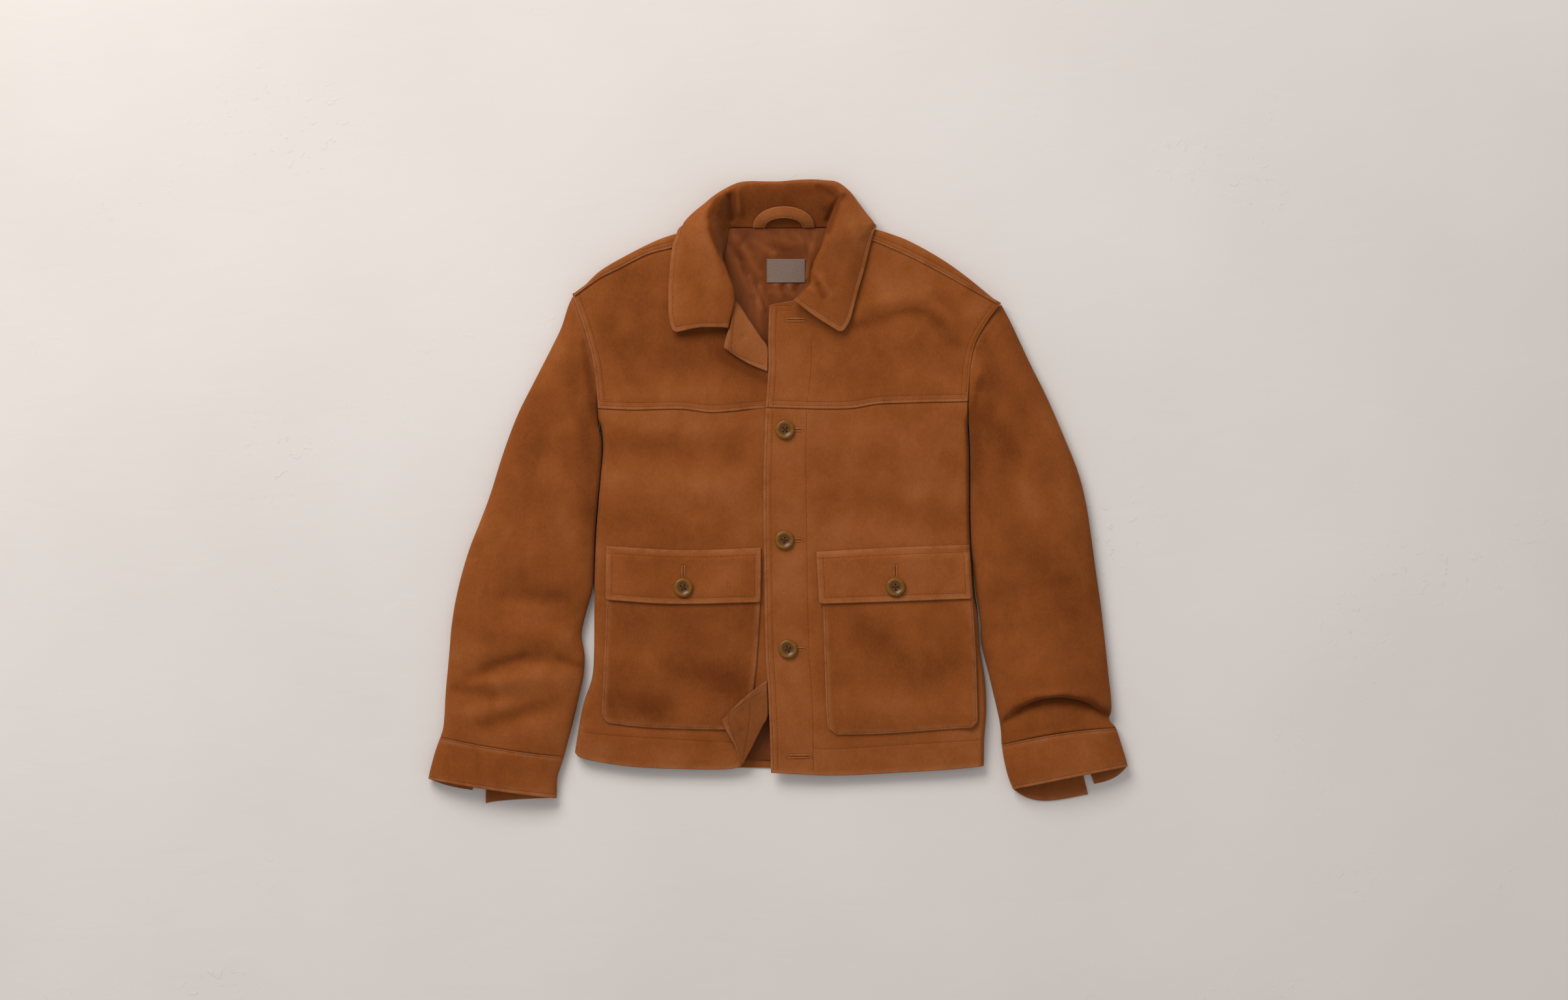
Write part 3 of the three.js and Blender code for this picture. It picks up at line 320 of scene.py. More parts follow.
# Tone strokes, lighter above 0 and darker below 0. They are partly nap stroked one way or the other, and partly
# painted shade and painted light, such as the painted shadows under the collar points, below the turned top
# corner and beneath the right sleeve's deep fold. x, y of two points or more, half width, tone.
NAP_AND_PAINTED_LIGHT_STROKES = [
    (-185, 262, -110, 282, 22, -0.09), (-165, 208, -75, 176, 38, -0.17),
    (-238, 182, -233, 142, -230, 112, -222, 84, 6, -0.28), (-254, 186, -252, 146, -252, 104, 11, -0.11),
    (-150, 130, -70, 128, 20, 0.09), (-60, 158, -22, 126, 20, -0.13), (-210, 230, -175, 205, 21, 0.07),
    (-210, 62, -70, 42, 24, -0.17), (-140, 86, -60, 84, 14, 0.06), (-130, 12, -50, -5, 30, 0.09),
    (-190, -40, -120, -54, 21, -0.09), (-205, 15, -160, 0, 18, 0.04), (-218, -20, -216, -60, 12, -0.09),
    (-125, -222, -50, -236, 21, -0.19), (-200, -255, -146, -266, 21, -0.2),
    (-170, -162, -110, -160, 20, -0.09), (-70, -180, -34, -200, 16, 0.09), (-110, -256, -60, -264, 15, 0.06),
    (-195, -198, -150, -205, 18, 0.09), (96, 268, 104, 228, 14, -0.1), (120, 250, 190, 248, 12, 0.06),
    (97, 204, 125, 212, 146, 218, 166, 221, 184, 217, 196, 208, 207, 196, 215, 184, 10, -0.22),
    (138, 219, 166, 224, 186, 219, 199, 207, 4.5, -0.13), (193, 241, 213, 229, 224, 210, 228, 182, 8, -0.13),
    (192, 231, 204, 222, 216, 204, 5, 0.07), (120, 168, 190, 156, 26, -0.05),
    (172, 177, 192, 172, 15, -0.05), (150, 142, 215, 136, 13, 0.06), (218, 178, 222, 130, 11, -0.08),
    (-212, 198, -165, 138, 17, -0.12), (-67, 169, -14, 137, 8, -0.3), (-122, 190, -66, 196, 6, -0.22),
    (24, 220, 76, 186, 6, -0.16), (12, 190, 12, -330, 26, 0.06), (-230, -320, -60, -329, 13, 0.09),
    (60, -328, 240, -322, 17, 0.1), (60, 62, 110, 30, 24, 0.09), (150, 76, 215, 62, 22, 0.04),
    (150, -24, 228, -43, 18, -0.14), (60, -46, 130, -58, 16, 0.07), (90, -4, 140, -10, 20, -0.06),
    (180, 30, 225, 20, 18, -0.05), (112, -168, 150, -212, 20, -0.17), (165, -226, 215, -212, 16, -0.11),
    (85, -250, 130, -264, 16, 0.09), (185, -165, 225, -188, 20, -0.05), (76, -158, 84, -205, 12, 0.09),
    (165, -262, 225, -258, 16, 0.06), (248, 136, 243.5, 121, 236, 88, 5, -0.28),
    (247, 180, 257, 151, 258, 120, 256, 90, 278, 66, 290, 48, 14, -0.17), (302, 14, 306, -26, 18, 0.12),
    (241, 92, 240, 16, 10, -0.2), (240, 160, 243, 146, 6, 0.1), (310, 150, 332, 82, 18, 0.09),
    (334, 60, 356, 0, 16, 0.09), (292, -50, 330, -95, 26, -0.11), (270, -110, 262, -160, 15, -0.09),
    (350, -120, 372, -170, 20, -0.07), (296, -190, 330, -222, 20, 0.09),
    (267, 193, 286, 156, 298, 128, 12, 0.08), (-236, 100, -234, -60, 12, -0.22),
    (-318, 72, -292, -20, 26, -0.12), (-262, 62, -258, 8, 14, -0.09), (-350, 40, -372, -40, 15, 0.09),
    (-335, -125, -262, -128, 14, -0.14), (-310, -150, -270, -160, 14, 0.09),
    (-378, -227, -312, -203, 7, -0.19), (-398, -242, -350, -253, 6.5, -0.22),
    (-268, -206, -243, -214, 5, -0.3), (-312, -202, -276, -205, 9, -0.12),
    (-395, -200, -350, -190, 12, 0.09), (-363, -288, -275, -258, 10, -0.15),
    (-345, -236, -275, -228, 9, 0.12), (-380, -268, -318, -262, 9, 0.12), (292, -268, 318, -258, 6, -0.24),
    (318, -258, 352, -255, 7, -0.34), (352, -255, 380, -259, 7, -0.34), (380, -259, 402, -272, 6, -0.34),
    (262, -262, 276, -300, 10, -0.08), (300, -245, 385, -240, 9, 0.08), (-285, 190, -262, 210, 14, -0.06),
    (-128, 205, -124, 295, 6, 0.1), (-108, 262, -98, 246, 15, -0.17), (-116, 212, -84, 212, 9, 0.09),
    (-74, 236, -64, 262, 7, -0.1), (-84, 322, -66, 268, 5, -0.28), (-58, 336, -56, 364, 3.6, -0.4),
    (-49, 345, -48, 370, 4, 0.12), (-86, 336, -76, 356, 5, -0.18), (62, 318, 73, 350, 3.4, -0.34),
    (74, 356, 81, 364, 3.4, -0.42), (40, 371, 68, 372, 7, -0.16), (44, 262, 56, 238, 3.6, -0.22),
    (50, 266, 66, 240, 4, 0.12), (-14, 345, 24, 356, 18, -0.04), (88, 330, 100, 300, 9, 0.1),
]

SUEDE = 2.0
PLACKET = 3.6
OVER_LEVEL = 17.0
UNDER_LEVEL = 15.2
YOKE_STEP = 1.2
SIDE_ROUND = 7.0
UNDERARM_Y = 88
FAR_FROM_EDGE = 40.0
PANEL = 1.8


def rounded_side(x, y, height):
    """The fronts roll down to the back panel at the sides, below the armholes."""
    inset = np.where(x < 0, x - side_left(y), side_right(y) - x)
    left = 1 - np.clip(inset, 0, SIDE_ROUND) / SIDE_ROUND
    foot = SUEDE + 0.3
    rolled = foot + (height - foot) * np.sqrt(np.maximum(1 - left * left, 0))
    rolled = mix(rolled, height, ramp(78, 100, y))
    return np.where((inset >= SIDE_ROUND) | (y > 100), height, rolled)


def front_height(x, y, flat_level):
    hem = -3 * (1 - ramp(-345, -290, y))
    return rounded_side(x, y, flat_level + hem + folds(BODY_FOLDS, x, y) + waviness(x, y, 0.16))


def under_front(x, y):
    return front_height(x, y, mix(OVER_LEVEL, UNDER_LEVEL, ramp(-75, -15, x)))


def over_front(x, y):
    return front_height(x, y, mix(UNDER_LEVEL + 0.3 + PLACKET, OVER_LEVEL, ramp(38, 75, x)))


print("the yoke seam is at y", round(float(yoke_seam_left(-100)), 1), "mm, 100 mm left of the middle")

# %% [markdown]
# ## Turning lines into leather
#
# Each piece of leather is a grid of points. `stations` places the grid's lines: close together beside an edge,
# where a seam is pressed and stitched, and wide apart in the middle, where the leather only rolls. `spread`
# then lays such a grid between four edge lines. `shell` gives the grid its thickness and a rounded cut edge.

# %% Grids between edge lines
EDGE = (0, 1.2, 2.2, 3.2, 4.4, 6.2, 7.6, 8.8, 10.2, 13)


def stations(steps_between, start=EDGE, end=EDGE, lines=()):
    """Places across a piece: offsets from its start, offsets about the lines between, offsets from its end."""
    groups = [[lambda lo, hi, at, d=d: lo + d for d in start]]
    for line, offsets in lines:
        groups.append([lambda lo, hi, at, line=line, d=d: line(at) + d for d in offsets])
    groups.append([lambda lo, hi, at, d=d: hi - d for d in reversed(end)])
    places = []
    for group, following, count in zip(groups, groups[1:], steps_between):
        places += group
        first, then = group[-1], following[0]
        for k in range(1, count):
            places.append(lambda lo, hi, at, a=first, b=then, t=k / count: mix(a(lo, hi, at), b(lo, hi, at), t))
    return places + groups[-1]


def spread(left, right, bottom, top, across, up):
    """x and y of a grid whose rows run from bottom to top and whose columns run from left to right."""
    x = np.array([[float(place(left(0.0), right(0.0), 0.0)) for place in across]] * len(up))
    y = np.zeros_like(x)
    for _ in range(8):
        low, high = bottom(x), top(x)
        y = np.array([place(low[i], high[i], x[i]) for i, place in enumerate(up)])
        low, high = left(y), right(y)
        x = np.array([place(low[:, j], high[:, j], y[:, j]) for j, place in enumerate(across)]).T
    return x, y


def grid_of(x, y, z):
    return np.stack([x, y, np.broadcast_to(z, x.shape)], axis=-1)


def unit(v):
    return v / np.maximum(np.linalg.norm(v, axis=-1, keepdims=True), 1e-9)


def upright(grid):
    """Straight up, once for each point of a grid or path."""
    return np.zeros_like(grid) + (0, 0, 1)


def outward(grid, wrap=False, flip=False):
    """The direction in which each point of a grid faces."""
    if wrap:
        across = np.roll(grid, -1, axis=1) - np.roll(grid, 1, axis=1)
    else:
        across = np.gradient(grid, axis=1)
    facing = unit(np.cross(across, np.gradient(grid, axis=0)))
    return -facing if flip else facing


# %% [markdown]
# A cut edge of suede is round and never knife sharp. So each wall gets three more rows of points round its
# rim, on a small arc, and the mesh stays closed all the way round.

# %% From a grid to a closed wall of leather
def piece_from(name, points, faces, material, values=None):
    """A mesh object with smooth faces, its points given in millimetres."""
    mesh = bpy.data.meshes.new(name)
    mesh.from_pydata((np.asarray(points) * MM).tolist(), [], [list(map(int, f)) for f in faces])
    mesh.materials.append(material)
    for key, numbers in (values or {}).items():
        mesh.attributes.new(key, "FLOAT", "POINT").data.foreach_set("value", np.asarray(numbers, np.float32))
    mesh.polygons.foreach_set("use_smooth", [True] * len(mesh.polygons))
    mesh.update()
    made = bpy.data.objects.new(name, mesh)
    bpy.context.scene.collection.objects.link(made)
    return made


def shell(name, grid, thickness, material, edge=None, tone=0.0, wrap=False, flip=False, straight=False):
    """A closed wall under a grid, with its cut edges rounded. Each point also keeps how far it is from an
    edge or seam, in millimetres, and a tone for the suede to read: how light its nap lies, with painted
    shade and painted light added from the strokes."""
    rows, cols = grid.shape[:2]
    thickness = np.broadcast_to(thickness, (rows, cols))[..., None]
    normal = upright(grid) if straight else outward(grid, wrap, flip)
    inner = grid - normal * thickness
    inner[..., 2] = np.maximum(inner[..., 2], 0)
    out = np.zeros_like(grid)
    out[0] += unit(grid[0] - grid[1])
    out[-1] += unit(grid[-1] - grid[-2])
    if not wrap:
        out[:, 0] += unit(grid[:, 0] - grid[:, 1])
        out[:, -1] += unit(grid[:, -1] - grid[:, -2])
    half = (grid - inner) / 2
    radius = np.minimum(thickness / 2, 0.9)
    middle = (grid + inner) / 2 - out * radius
    top, under = grid - out * radius, inner - out * radius
    ids = np.arange(rows * cols).reshape(rows, cols)
    if wrap:
        loops = [np.append(ring, ring[0]) for ring in (ids[0], ids[-1][::-1])]
        ids = np.hstack([ids, ids[:, :1]])
    else:
        ring = np.concatenate([ids[0], ids[1:, -1], ids[-1, -2::-1], ids[-2:0:-1, 0]])
        loops = [np.append(ring, ring[0])]
    quads = np.stack([ids[:-1, :-1], ids[:-1, 1:], ids[1:, 1:], ids[1:, :-1]], axis=-1).reshape(-1, 4)
    total = rows * cols
    faces = [quads, quads[:, ::-1] + total]
    points = [top.reshape(-1, 3), under.reshape(-1, 3)]
    source = [np.arange(total), np.arange(total)]
    count = 2 * total
    flat_middle, flat_half, flat_out = middle.reshape(-1, 3), half.reshape(-1, 3), out.reshape(-1, 3)
    flat_radius = radius.reshape(-1, 1)
    for loop in loops:
        upper = loop
        for angle in (45, 0, -45):
            a = math.radians(angle)
            ring = loop[:-1]
            points.append(flat_middle[ring] + flat_half[ring] * math.sin(a)
                          + flat_out[ring] * flat_radius[ring] * math.cos(a))
            source.append(ring)
            lower = np.append(np.arange(len(ring)), 0) + count
            count += len(ring)
            faces.append(np.stack([upper[:-1], lower[:-1], lower[1:], upper[1:]], axis=-1))
            upper = lower
        lower = loop + total
        faces.append(np.stack([upper[:-1], lower[:-1], lower[1:], upper[1:]], axis=-1))
    faces = np.concatenate(faces)
    if flip:
        faces = faces[:, ::-1]
    source = np.concatenate(source)
    edge = np.full((rows, cols), FAR_FROM_EDGE) if edge is None else np.broadcast_to(edge, (rows, cols))
    # The strokes add nap tone together with painted shade and painted light.
    tone = tone + folds(NAP_AND_PAINTED_LIGHT_STROKES, grid[..., 0], grid[..., 1])
    values = {"from_edge": edge.reshape(-1)[source], "tone_and_painted_light": tone.reshape(-1)[source]}
    made = piece_from(name, np.concatenate(points), faces, material, values)
    print(f"{name}: {len(faces)} faces")
    return made


def round_corner(grid, last_row, last_column, radius):
    """Pulls the points about one corner of a grid inwards, so that the corner becomes a quarter circle."""
    part = grid[::-1] if last_row else grid
    part = part[:, ::-1] if last_column else part
    down = np.zeros(part.shape[:2])
    over = np.zeros(part.shape[:2])
    down[1:] = np.cumsum(np.linalg.norm(np.diff(part, axis=0), axis=-1), axis=0)
    over[:, 1:] = np.cumsum(np.linalg.norm(np.diff(part, axis=1), axis=-1), axis=1)
    middle = part[np.searchsorted(down[:, 0], radius), np.searchsorted(over[0], radius)].copy()
    to_edge, to_end = radius - down, radius - over
    near = (to_edge > 0) & (to_end > 0)
    share = np.maximum(to_edge, to_end)[near] / np.hypot(to_edge, to_end)[near]
    part[near] = middle + (part[near] - middle) * share[:, None]


def sheet_sizes(grid, wrap=False):
    """The piece's width, length and area if it were pressed flat, in metres."""
    if wrap:
        grid = np.concatenate([grid, grid[:, :1]], axis=1)
    across = np.linalg.norm(np.diff(grid, axis=1), axis=-1).sum(axis=1).max()
    along = np.linalg.norm(np.diff(grid, axis=0), axis=-1).sum(axis=0).max()
    a, b = grid[1:, 1:] - grid[:-1, :-1], grid[1:, :-1] - grid[:-1, 1:]
    area = np.linalg.norm(np.cross(a, b), axis=-1).sum() / 2
    return (round(across * MM, 3), round(along * MM, 3)), round(area * MM * MM, 4)


# %% [markdown]
# ## Rows of stitches
#
# A stitch row in suede is seen in two ways. The thread pulls the leather into a shallow groove, and the sunk
# stitches are a line of small dark dashes. The groove is pressed into the piece's own points, and the dashes
# are one small bead of thread, copied along the row and joined into a single mesh.

# %% Grooves and stitches
PITCH = 2.75
STITCH = (0.88, 0.34, 0.28)
stitch_places = []


def near_path(points, path):
    """The distance in millimetres from each point to a path."""
    flat = points.reshape(-1, 3)
    best = np.full(len(flat), 1e9)
    low, high = path.min(axis=0) - 12, path.max(axis=0) + 12
    close = np.all((flat >= low) & (flat <= high), axis=1)
    some = flat[close]
    nearest = np.full(len(some), 1e9)
    for a, b in zip(path[:-1], path[1:]):
        ab = b - a
        t = np.clip(((some - a) @ ab) / max(ab @ ab, 1e-9), 0, 1)
        nearest = np.minimum(nearest, np.linalg.norm(some - a - t[:, None] * ab, axis=1))
    best[close] = nearest
    return best.reshape(points.shape[:-1])


def sew(grid, normals, paths, depth=0.42, width=1.15):
    """Presses a groove along each path into the grid and notes where the stitches go."""
    pressed = np.zeros(grid.shape[:2])
    for path, path_normals in paths:
        pressed = np.maximum(pressed, np.exp(-((near_path(grid, path) / width) ** 2)))
        lengths = np.concatenate([[0], np.cumsum(np.linalg.norm(np.diff(path, axis=0), axis=1))])
        count = max(int(lengths[-1] // PITCH), 1)
        at = (np.arange(count) + 0.5) * lengths[-1] / count
        centre = np.stack([np.interp(at, lengths, path[:, k]) for k in range(3)], axis=-1)
        ahead = np.stack([np.interp(at + 1, lengths, path[:, k]) for k in range(3)], axis=-1)
        behind = np.stack([np.interp(at - 1, lengths, path[:, k]) for k in range(3)], axis=-1)
        up = np.stack([np.interp(at, lengths, path_normals[:, k]) for k in range(3)], axis=-1)
        stitch_places.append((centre - unit(up) * (depth - 0.1), unit(ahead - behind), unit(up)))
    return grid - normals * (pressed * depth)[..., None]


def plan_path(line, start, end, height, offset=0.0, along_y=False):
    """A stitch row that follows an edge or seam line at an offset, laid on a height."""
    count = max(int(abs(end - start) / 4), 8)
    at = np.linspace(start, end, count + 1)
    other = line(at) + offset
    x, y = (other, at) if along_y else (at, other)
    path = grid_of(x, y, height(x, y))
    return path, upright(path)


def stitched_panel(name, left, right, bottom, top, across, up, height, thickness, material, rows, tone,
                   edges="", straight=False, rounding=0.0):
    """Lays a panel, presses its stitch rows and makes it. edges names the sides that are rubbed lighter."""
    x, y = spread(left, right, bottom, top, across, up)
    grid = grid_of(x, y, height(x, y))
    distance = {"l": x - left(y), "r": right(y) - x, "b": y - bottom(x), "t": top(x) - y}
    edge = np.full(x.shape, FAR_FROM_EDGE)
    for side in edges:
        edge = np.minimum(edge, distance[side])
    sewn = sew(grid, upright(grid), rows)
    if callable(thickness):
        thickness = thickness(x)
    if rounding:
        round_corner(sewn, False, False, rounding)
        round_corner(sewn, False, True, rounding)
    made = shell(name, sewn, thickness, material, edge, tone, straight=straight)
    return made, sewn


# %% [markdown]
# ## Suede
#
# Suede is split leather with a raised nap. Brushed one way it looks light and dusty, brushed the other way
# dark and rich, so the surface is never one brown. Three sizes of blotch make that: broad areas, hand-sized
# smudges and a fine speckle. Edges and seams are rubbed paler. A sheen lobe gives the soft rim of the fibres.


# %% Suede, thread, satin, tape and horn
def suede(name, dark, mid, light, rubbed):
    material, tree, shader, place = new_material(name, Roughness=0.92, Sheen_Weight=0.22, Sheen_Roughness=0.45)
    shader.inputs["Specular IOR Level"].default_value = 0.06
    shader.inputs["Sheen Tint"].default_value = (1.0, 0.55, 0.28, 1)
    broad = noise(tree, place, 105, 2.5, 0.5, warp=0.5)
    smudge = noise(tree, place, 26, 4, 0.55, stretch=(1, 0.8, 1), warp=0.4)
    fleck = noise(tree, place, 3.2, 3, 0.6, stretch=(1.2, 0.7, 1))
    nap = noise(tree, place, 0.95, 2, 0.7, stretch=(1.4, 0.8, 1))
    # The stored tone holds each piece's nap tone plus painted shade and painted light, from the strokes and the
    # collar's roll.
    stored_tone_and_painted_light = add_node(tree, "ShaderNodeAttribute", settings={"attribute_name": "tone_and_painted_light"}).outputs["Fac"]
    shade = sums(tree, "MULTIPLY", sums(tree, "SUBTRACT", broad, 0.5), 0.62)
    shade = sums(tree, "ADD", shade, sums(tree, "MULTIPLY", sums(tree, "SUBTRACT", smudge, 0.5), 0.42))
    shade = sums(tree, "ADD", shade, sums(tree, "MULTIPLY", sums(tree, "SUBTRACT", fleck, 0.5), 0.26))
    shade = sums(tree, "ADD", shade, sums(tree, "MULTIPLY", sums(tree, "SUBTRACT", nap, 0.5), 0.5))
    shade = sums(tree, "ADD", sums(tree, "ADD", shade, stored_tone_and_painted_light), 0.5)
    colour = colour_steps(tree, shade, [(0.1, dark), (0.5, mid), (0.9, light)])
    distance = add_node(tree, "ShaderNodeAttribute", settings={"attribute_name": "from_edge"}).outputs["Fac"]
    wear = spread_range(tree, distance, 0.0, 9.0, 1.0, 0.0)
    uneven = spread_range(tree, noise(tree, place, 17, 3, 0.6), 0.3, 0.62, 0.25, 1.0)
    wear = sums(tree, "MULTIPLY", sums(tree, "MULTIPLY", wear, uneven), 0.42)
    colour = blend_colour(tree, wear, colour, rubbed)
    tree.links.new(colour, shader.inputs["Base Color"])
    creases = noise(tree, place, 9, 4, 0.6, warp=0.5)
    relief = bump(tree, nap, 0.28, 0.75, bump(tree, fleck, 0.5, 0.5, bump(tree, creases, 0.8, 0.3)))
    tree.links.new(relief, shader.inputs["Normal"])
    return material


tan_suede = suede("tan_suede", (0.138, 0.033, 0.006), (0.245, 0.0665, 0.0135), (0.335, 0.11, 0.034),
                  (0.385, 0.15, 0.062))
facing_suede = suede("facing_suede", (0.16, 0.043, 0.010), (0.27, 0.082, 0.021), (0.36, 0.125, 0.042),
                     (0.40, 0.162, 0.07))

thread, tree, shader, place = new_material("rust_thread", Roughness=0.9)
shader.inputs["Specular IOR Level"].default_value = 0.05
twist = noise(tree, place, 0.7, 2, 0.5)
# The thread's dark rust is partly its own colour and partly painted shade of the sunk stitch holes.
tree.links.new(colour_steps(tree, twist, [(0.3, (0.07, 0.018, 0.004)), (0.7, (0.13, 0.037, 0.008))]),
               shader.inputs["Base Color"])
tree.links.new(bump(tree, twist, 0.1, 0.5), shader.inputs["Normal"])

satin, tree, shader, place = new_material("satin_lining", Roughness=0.46, Sheen_Weight=0.1,
                                          Sheen_Roughness=0.3)
shader.inputs["Specular IOR Level"].default_value = 0.13
shader.inputs["Sheen Tint"].default_value = (1.0, 0.5, 0.28, 1)
sway = noise(tree, place, 34, 3, 0.5, stretch=(1, 0.45, 1), warp=0.7)
weave = add_node(tree, "ShaderNodeTexWave", Vector=place, Scale=1.0 / (2.2 * MM), Distortion=0.4,
                 settings={"bands_direction": "DIAGONAL"}).outputs["Fac"]
# The stored tone paints the lining's creases and the strokes into its colour: painted shade and painted light.
stored_tone_and_painted_light = add_node(tree, "ShaderNodeAttribute", settings={"attribute_name": "tone_and_painted_light"}).outputs["Fac"]
tree.links.new(colour_steps(tree, sums(tree, "ADD", sway, stored_tone_and_painted_light), [(0.2, (0.095, 0.019, 0.003)),
                                                                 (0.5, (0.163, 0.039, 0.0065)),
                                                                 (0.85, (0.25, 0.069, 0.016))]),
               shader.inputs["Base Color"])
tree.links.new(bump(tree, weave, 0.03, 0.25, bump(tree, sway, 2.4, 0.6)), shader.inputs["Normal"])

tape, tree, shader, place = new_material("woven_tape", Roughness=0.9)
shader.inputs["Specular IOR Level"].default_value = 0.1
ribs = add_node(tree, "ShaderNodeTexWave", Vector=place, Scale=1.0 / (3.0 * MM),
                settings={"bands_direction": "Y"}).outputs["Fac"]
fibres = noise(tree, place, 1.4, 3, 0.6, stretch=(0.8, 1.3, 1))
tree.links.new(colour_steps(tree, fibres, [(0.2, (0.168, 0.113, 0.087)), (0.8, (0.248, 0.17, 0.132))]),
               shader.inputs["Base Color"])
tree.links.new(bump(tree, ribs, 0.04, 0.3), shader.inputs["Normal"])

horn, tree, shader, place = new_material("polished_horn", Roughness=0.3, Coat_Weight=0.16,
                                         Coat_Roughness=0.12)
shader.inputs["Specular IOR Level"].default_value = 0.25
streaks = noise(tree, place, 7, 3, 0.45, stretch=(0.6, 1.3, 1), warp=0.8)
grain = colour_steps(tree, streaks, [(0.25, (0.13, 0.046, 0.0015)), (0.5, (0.175, 0.066, 0.002)),
                                     (0.8, (0.225, 0.09, 0.004))])
# The dish is blended towards dark brown: painted shade, for the shade inside the rolled rim.
dish = add_node(tree, "ShaderNodeAttribute", settings={"attribute_name": "in_dish"}).outputs["Fac"]
tree.links.new(blend_colour(tree, sums(tree, "MULTIPLY", dish, 0.72), grain, (0.075, 0.026, 0.004)),
               shader.inputs["Base Color"])
tree.links.new(bump(tree, streaks, 0.05, 0.3), shader.inputs["Normal"])
print("materials:", ", ".join(m.name for m in (tan_suede, facing_suede, thread, satin, tape, horn)))

# %% [markdown]
# ## Back and lining
#
# The back panel is the lowest layer and carries everything, so it lies flat. It lifts a little at the neck,
# where the collar folds under it. The lining shows only in the neck and at the turned-up hem corner. There it
# is a loose, lighter cloth, so it gets soft slanting billows that the suede does not have.

# %% Back panel and lining
cuts = {}


def keep(made, node, grid, wrap=False):
    """Puts the piece in the frame in place of its solid and notes its size laid flat."""
    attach(made, "root")
    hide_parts(node)
    cuts[node] = sheet_sizes(grid, wrap)
    return made


NECK_X = 2.0
NECK_HALF = 76.0


def under_sleeve(y, lowest):
    """How far the back's seam allowance reaches under the sleeve that lies against it."""
    return 2.9 * ramp(lowest, lowest + 40, y) * (1 - ramp(74, UNDERARM_Y, y))


def back_edge_left(y):
    return np.where(y > UNDERARM_Y, arm_left(y), side_left(y)) + 0.9 - under_sleeve(y, -140)


def back_edge_right(y):
    return np.where(y > UNDERARM_Y, arm_right(y), side_right(y)) - 0.9 + under_sleeve(y, -170)


def back_top(x):
    neck = mix(321.5, np.where(x < 0, 317.5, 318.5), ramp(64, NECK_HALF, np.abs(x - NECK_X)))
    top = np.where(x < NECK_X - NECK_HALF, np.minimum(shoulder_line_left(x) - 10.2, 317.5), neck)
    return np.where(x > NECK_X + NECK_HALF, np.minimum(shoulder_line_right(x) - 9.4, 318.5), top)


NECK_LIFT = 3.1


def back_lift(x, y):
    return NECK_LIFT * ramp(288, 301, y) * (1 - ramp(124, 142, np.abs(x)))


FEW = (0, 1.6, 4)
x, y = spread(back_edge_left, back_edge_right, hem_back, back_top, stations([70], FEW, FEW),
              stations([110], FEW, FEW))
grid = grid_of(x, y, back_lift(x, y) + SUEDE)
back = shell("back_of_suede", grid, SUEDE, tan_suede, tone=-0.05, straight=True)
keep(back, "back_panel", grid)

LINING_FOLDS = [
    (-58, 306, -46, 286, 3.6, -2.2), (-50, 312, -34, 292, 4.0, 2.2), (-44, 300, -22, 266, 3.8, 2.4),
    (-30, 308, -4, 292, 3.8, 1.6), (-52, 285, -34, 246, 3.6, 2.6), (-44, 276, -28, 238, 3.2, -2.2),
    (-36, 264, -20, 226, 3.2, 3.2), (-29, 258, -14, 222, 2.6, -2.4), (-22, 252, -9, 216, 3.0, 2.8),
    (-2, 254, 2, 239, 2.6, 2.2), (6, 254, 9, 241, 2.2, -1.6), (14, 253, 20, 240, 2.8, 2.4),
    (24, 254, 26, 244, 2.4, -1.4), (42, 302, 36, 264, 3.8, 2.2), (50, 296, 44, 276, 3.2, -1.8),
    (-8, 312, 24, 305, 3.4, 1.3), (-12, 303, 14, 297, 3.0, -1.2), (46, 317, 42, 298, 3.2, 1.8),
    (-12, 246, 30, 243, 2.8, 1.6), (-38, 318, -46, 304, 3.2, -1.6), (20, 318, 34, 306, 3.4, 1.2),
]


def lining_level(y):
    """The height of the lining without its billows."""
    return NECK_LIFT * ramp(255, 306, y) + SUEDE + 1.6 + 0.6 * ramp(262, 295, y)


def lining_top(x, y):
    show = ramp(100, 180, y) * (1 - ramp(225, 250, y))
    under_label = 1 - ramp(30, 22, np.hypot((x - 9.5) / 1.25, (y - 272)))
    sway = show * (1.4 + np.cos((x + 0.28 * y) / 20))
    creases = folds(LINING_FOLDS, x, y) * np.clip(1 - under_label, 0.25, 1)
    return lining_level(y) + (sway + creases)


x, y = spread(shift(back_edge_left, 14), shift(back_edge_right, -14),
              lambda x: np.maximum(-331, hem_back(x) + 6),
              lambda x: mix(324.3, back_top(x) - 3.5, ramp(64, 66, np.abs(x - NECK_X))),
              stations([30, 50, 30], FEW, FEW, [(level(-75), (0,)), (level(75), (0,))]),
              stations([70, 58], FEW, FEW, [(level(190), (0,))]))
grid = grid_of(x, y, lining_top(x, y))
# The creases are also painted into the satin's colour, darker in their troughs and lighter on their ridges:
# painted shade and painted light.
crease_painted_shade = 0.09 * folds(LINING_FOLDS, grid[..., 0], grid[..., 1])
lining = shell("lining_of_satin", grid, 0.8, satin, tone=crease_painted_shade)
keep(lining, "back_lining", grid)


# %% [markdown]
# ## Shoulders, yokes and lower fronts
#
# The back wraps over each shoulder and ends in a seam on the front. Below it come the yokes, each lapped over
# the lower front and held by two rows of stitches. To look sewn, the lower piece really runs on under the
# upper one, and only the upper one shows its edge.

# %% Shoulders
SHOULDER_TURN = 8.5


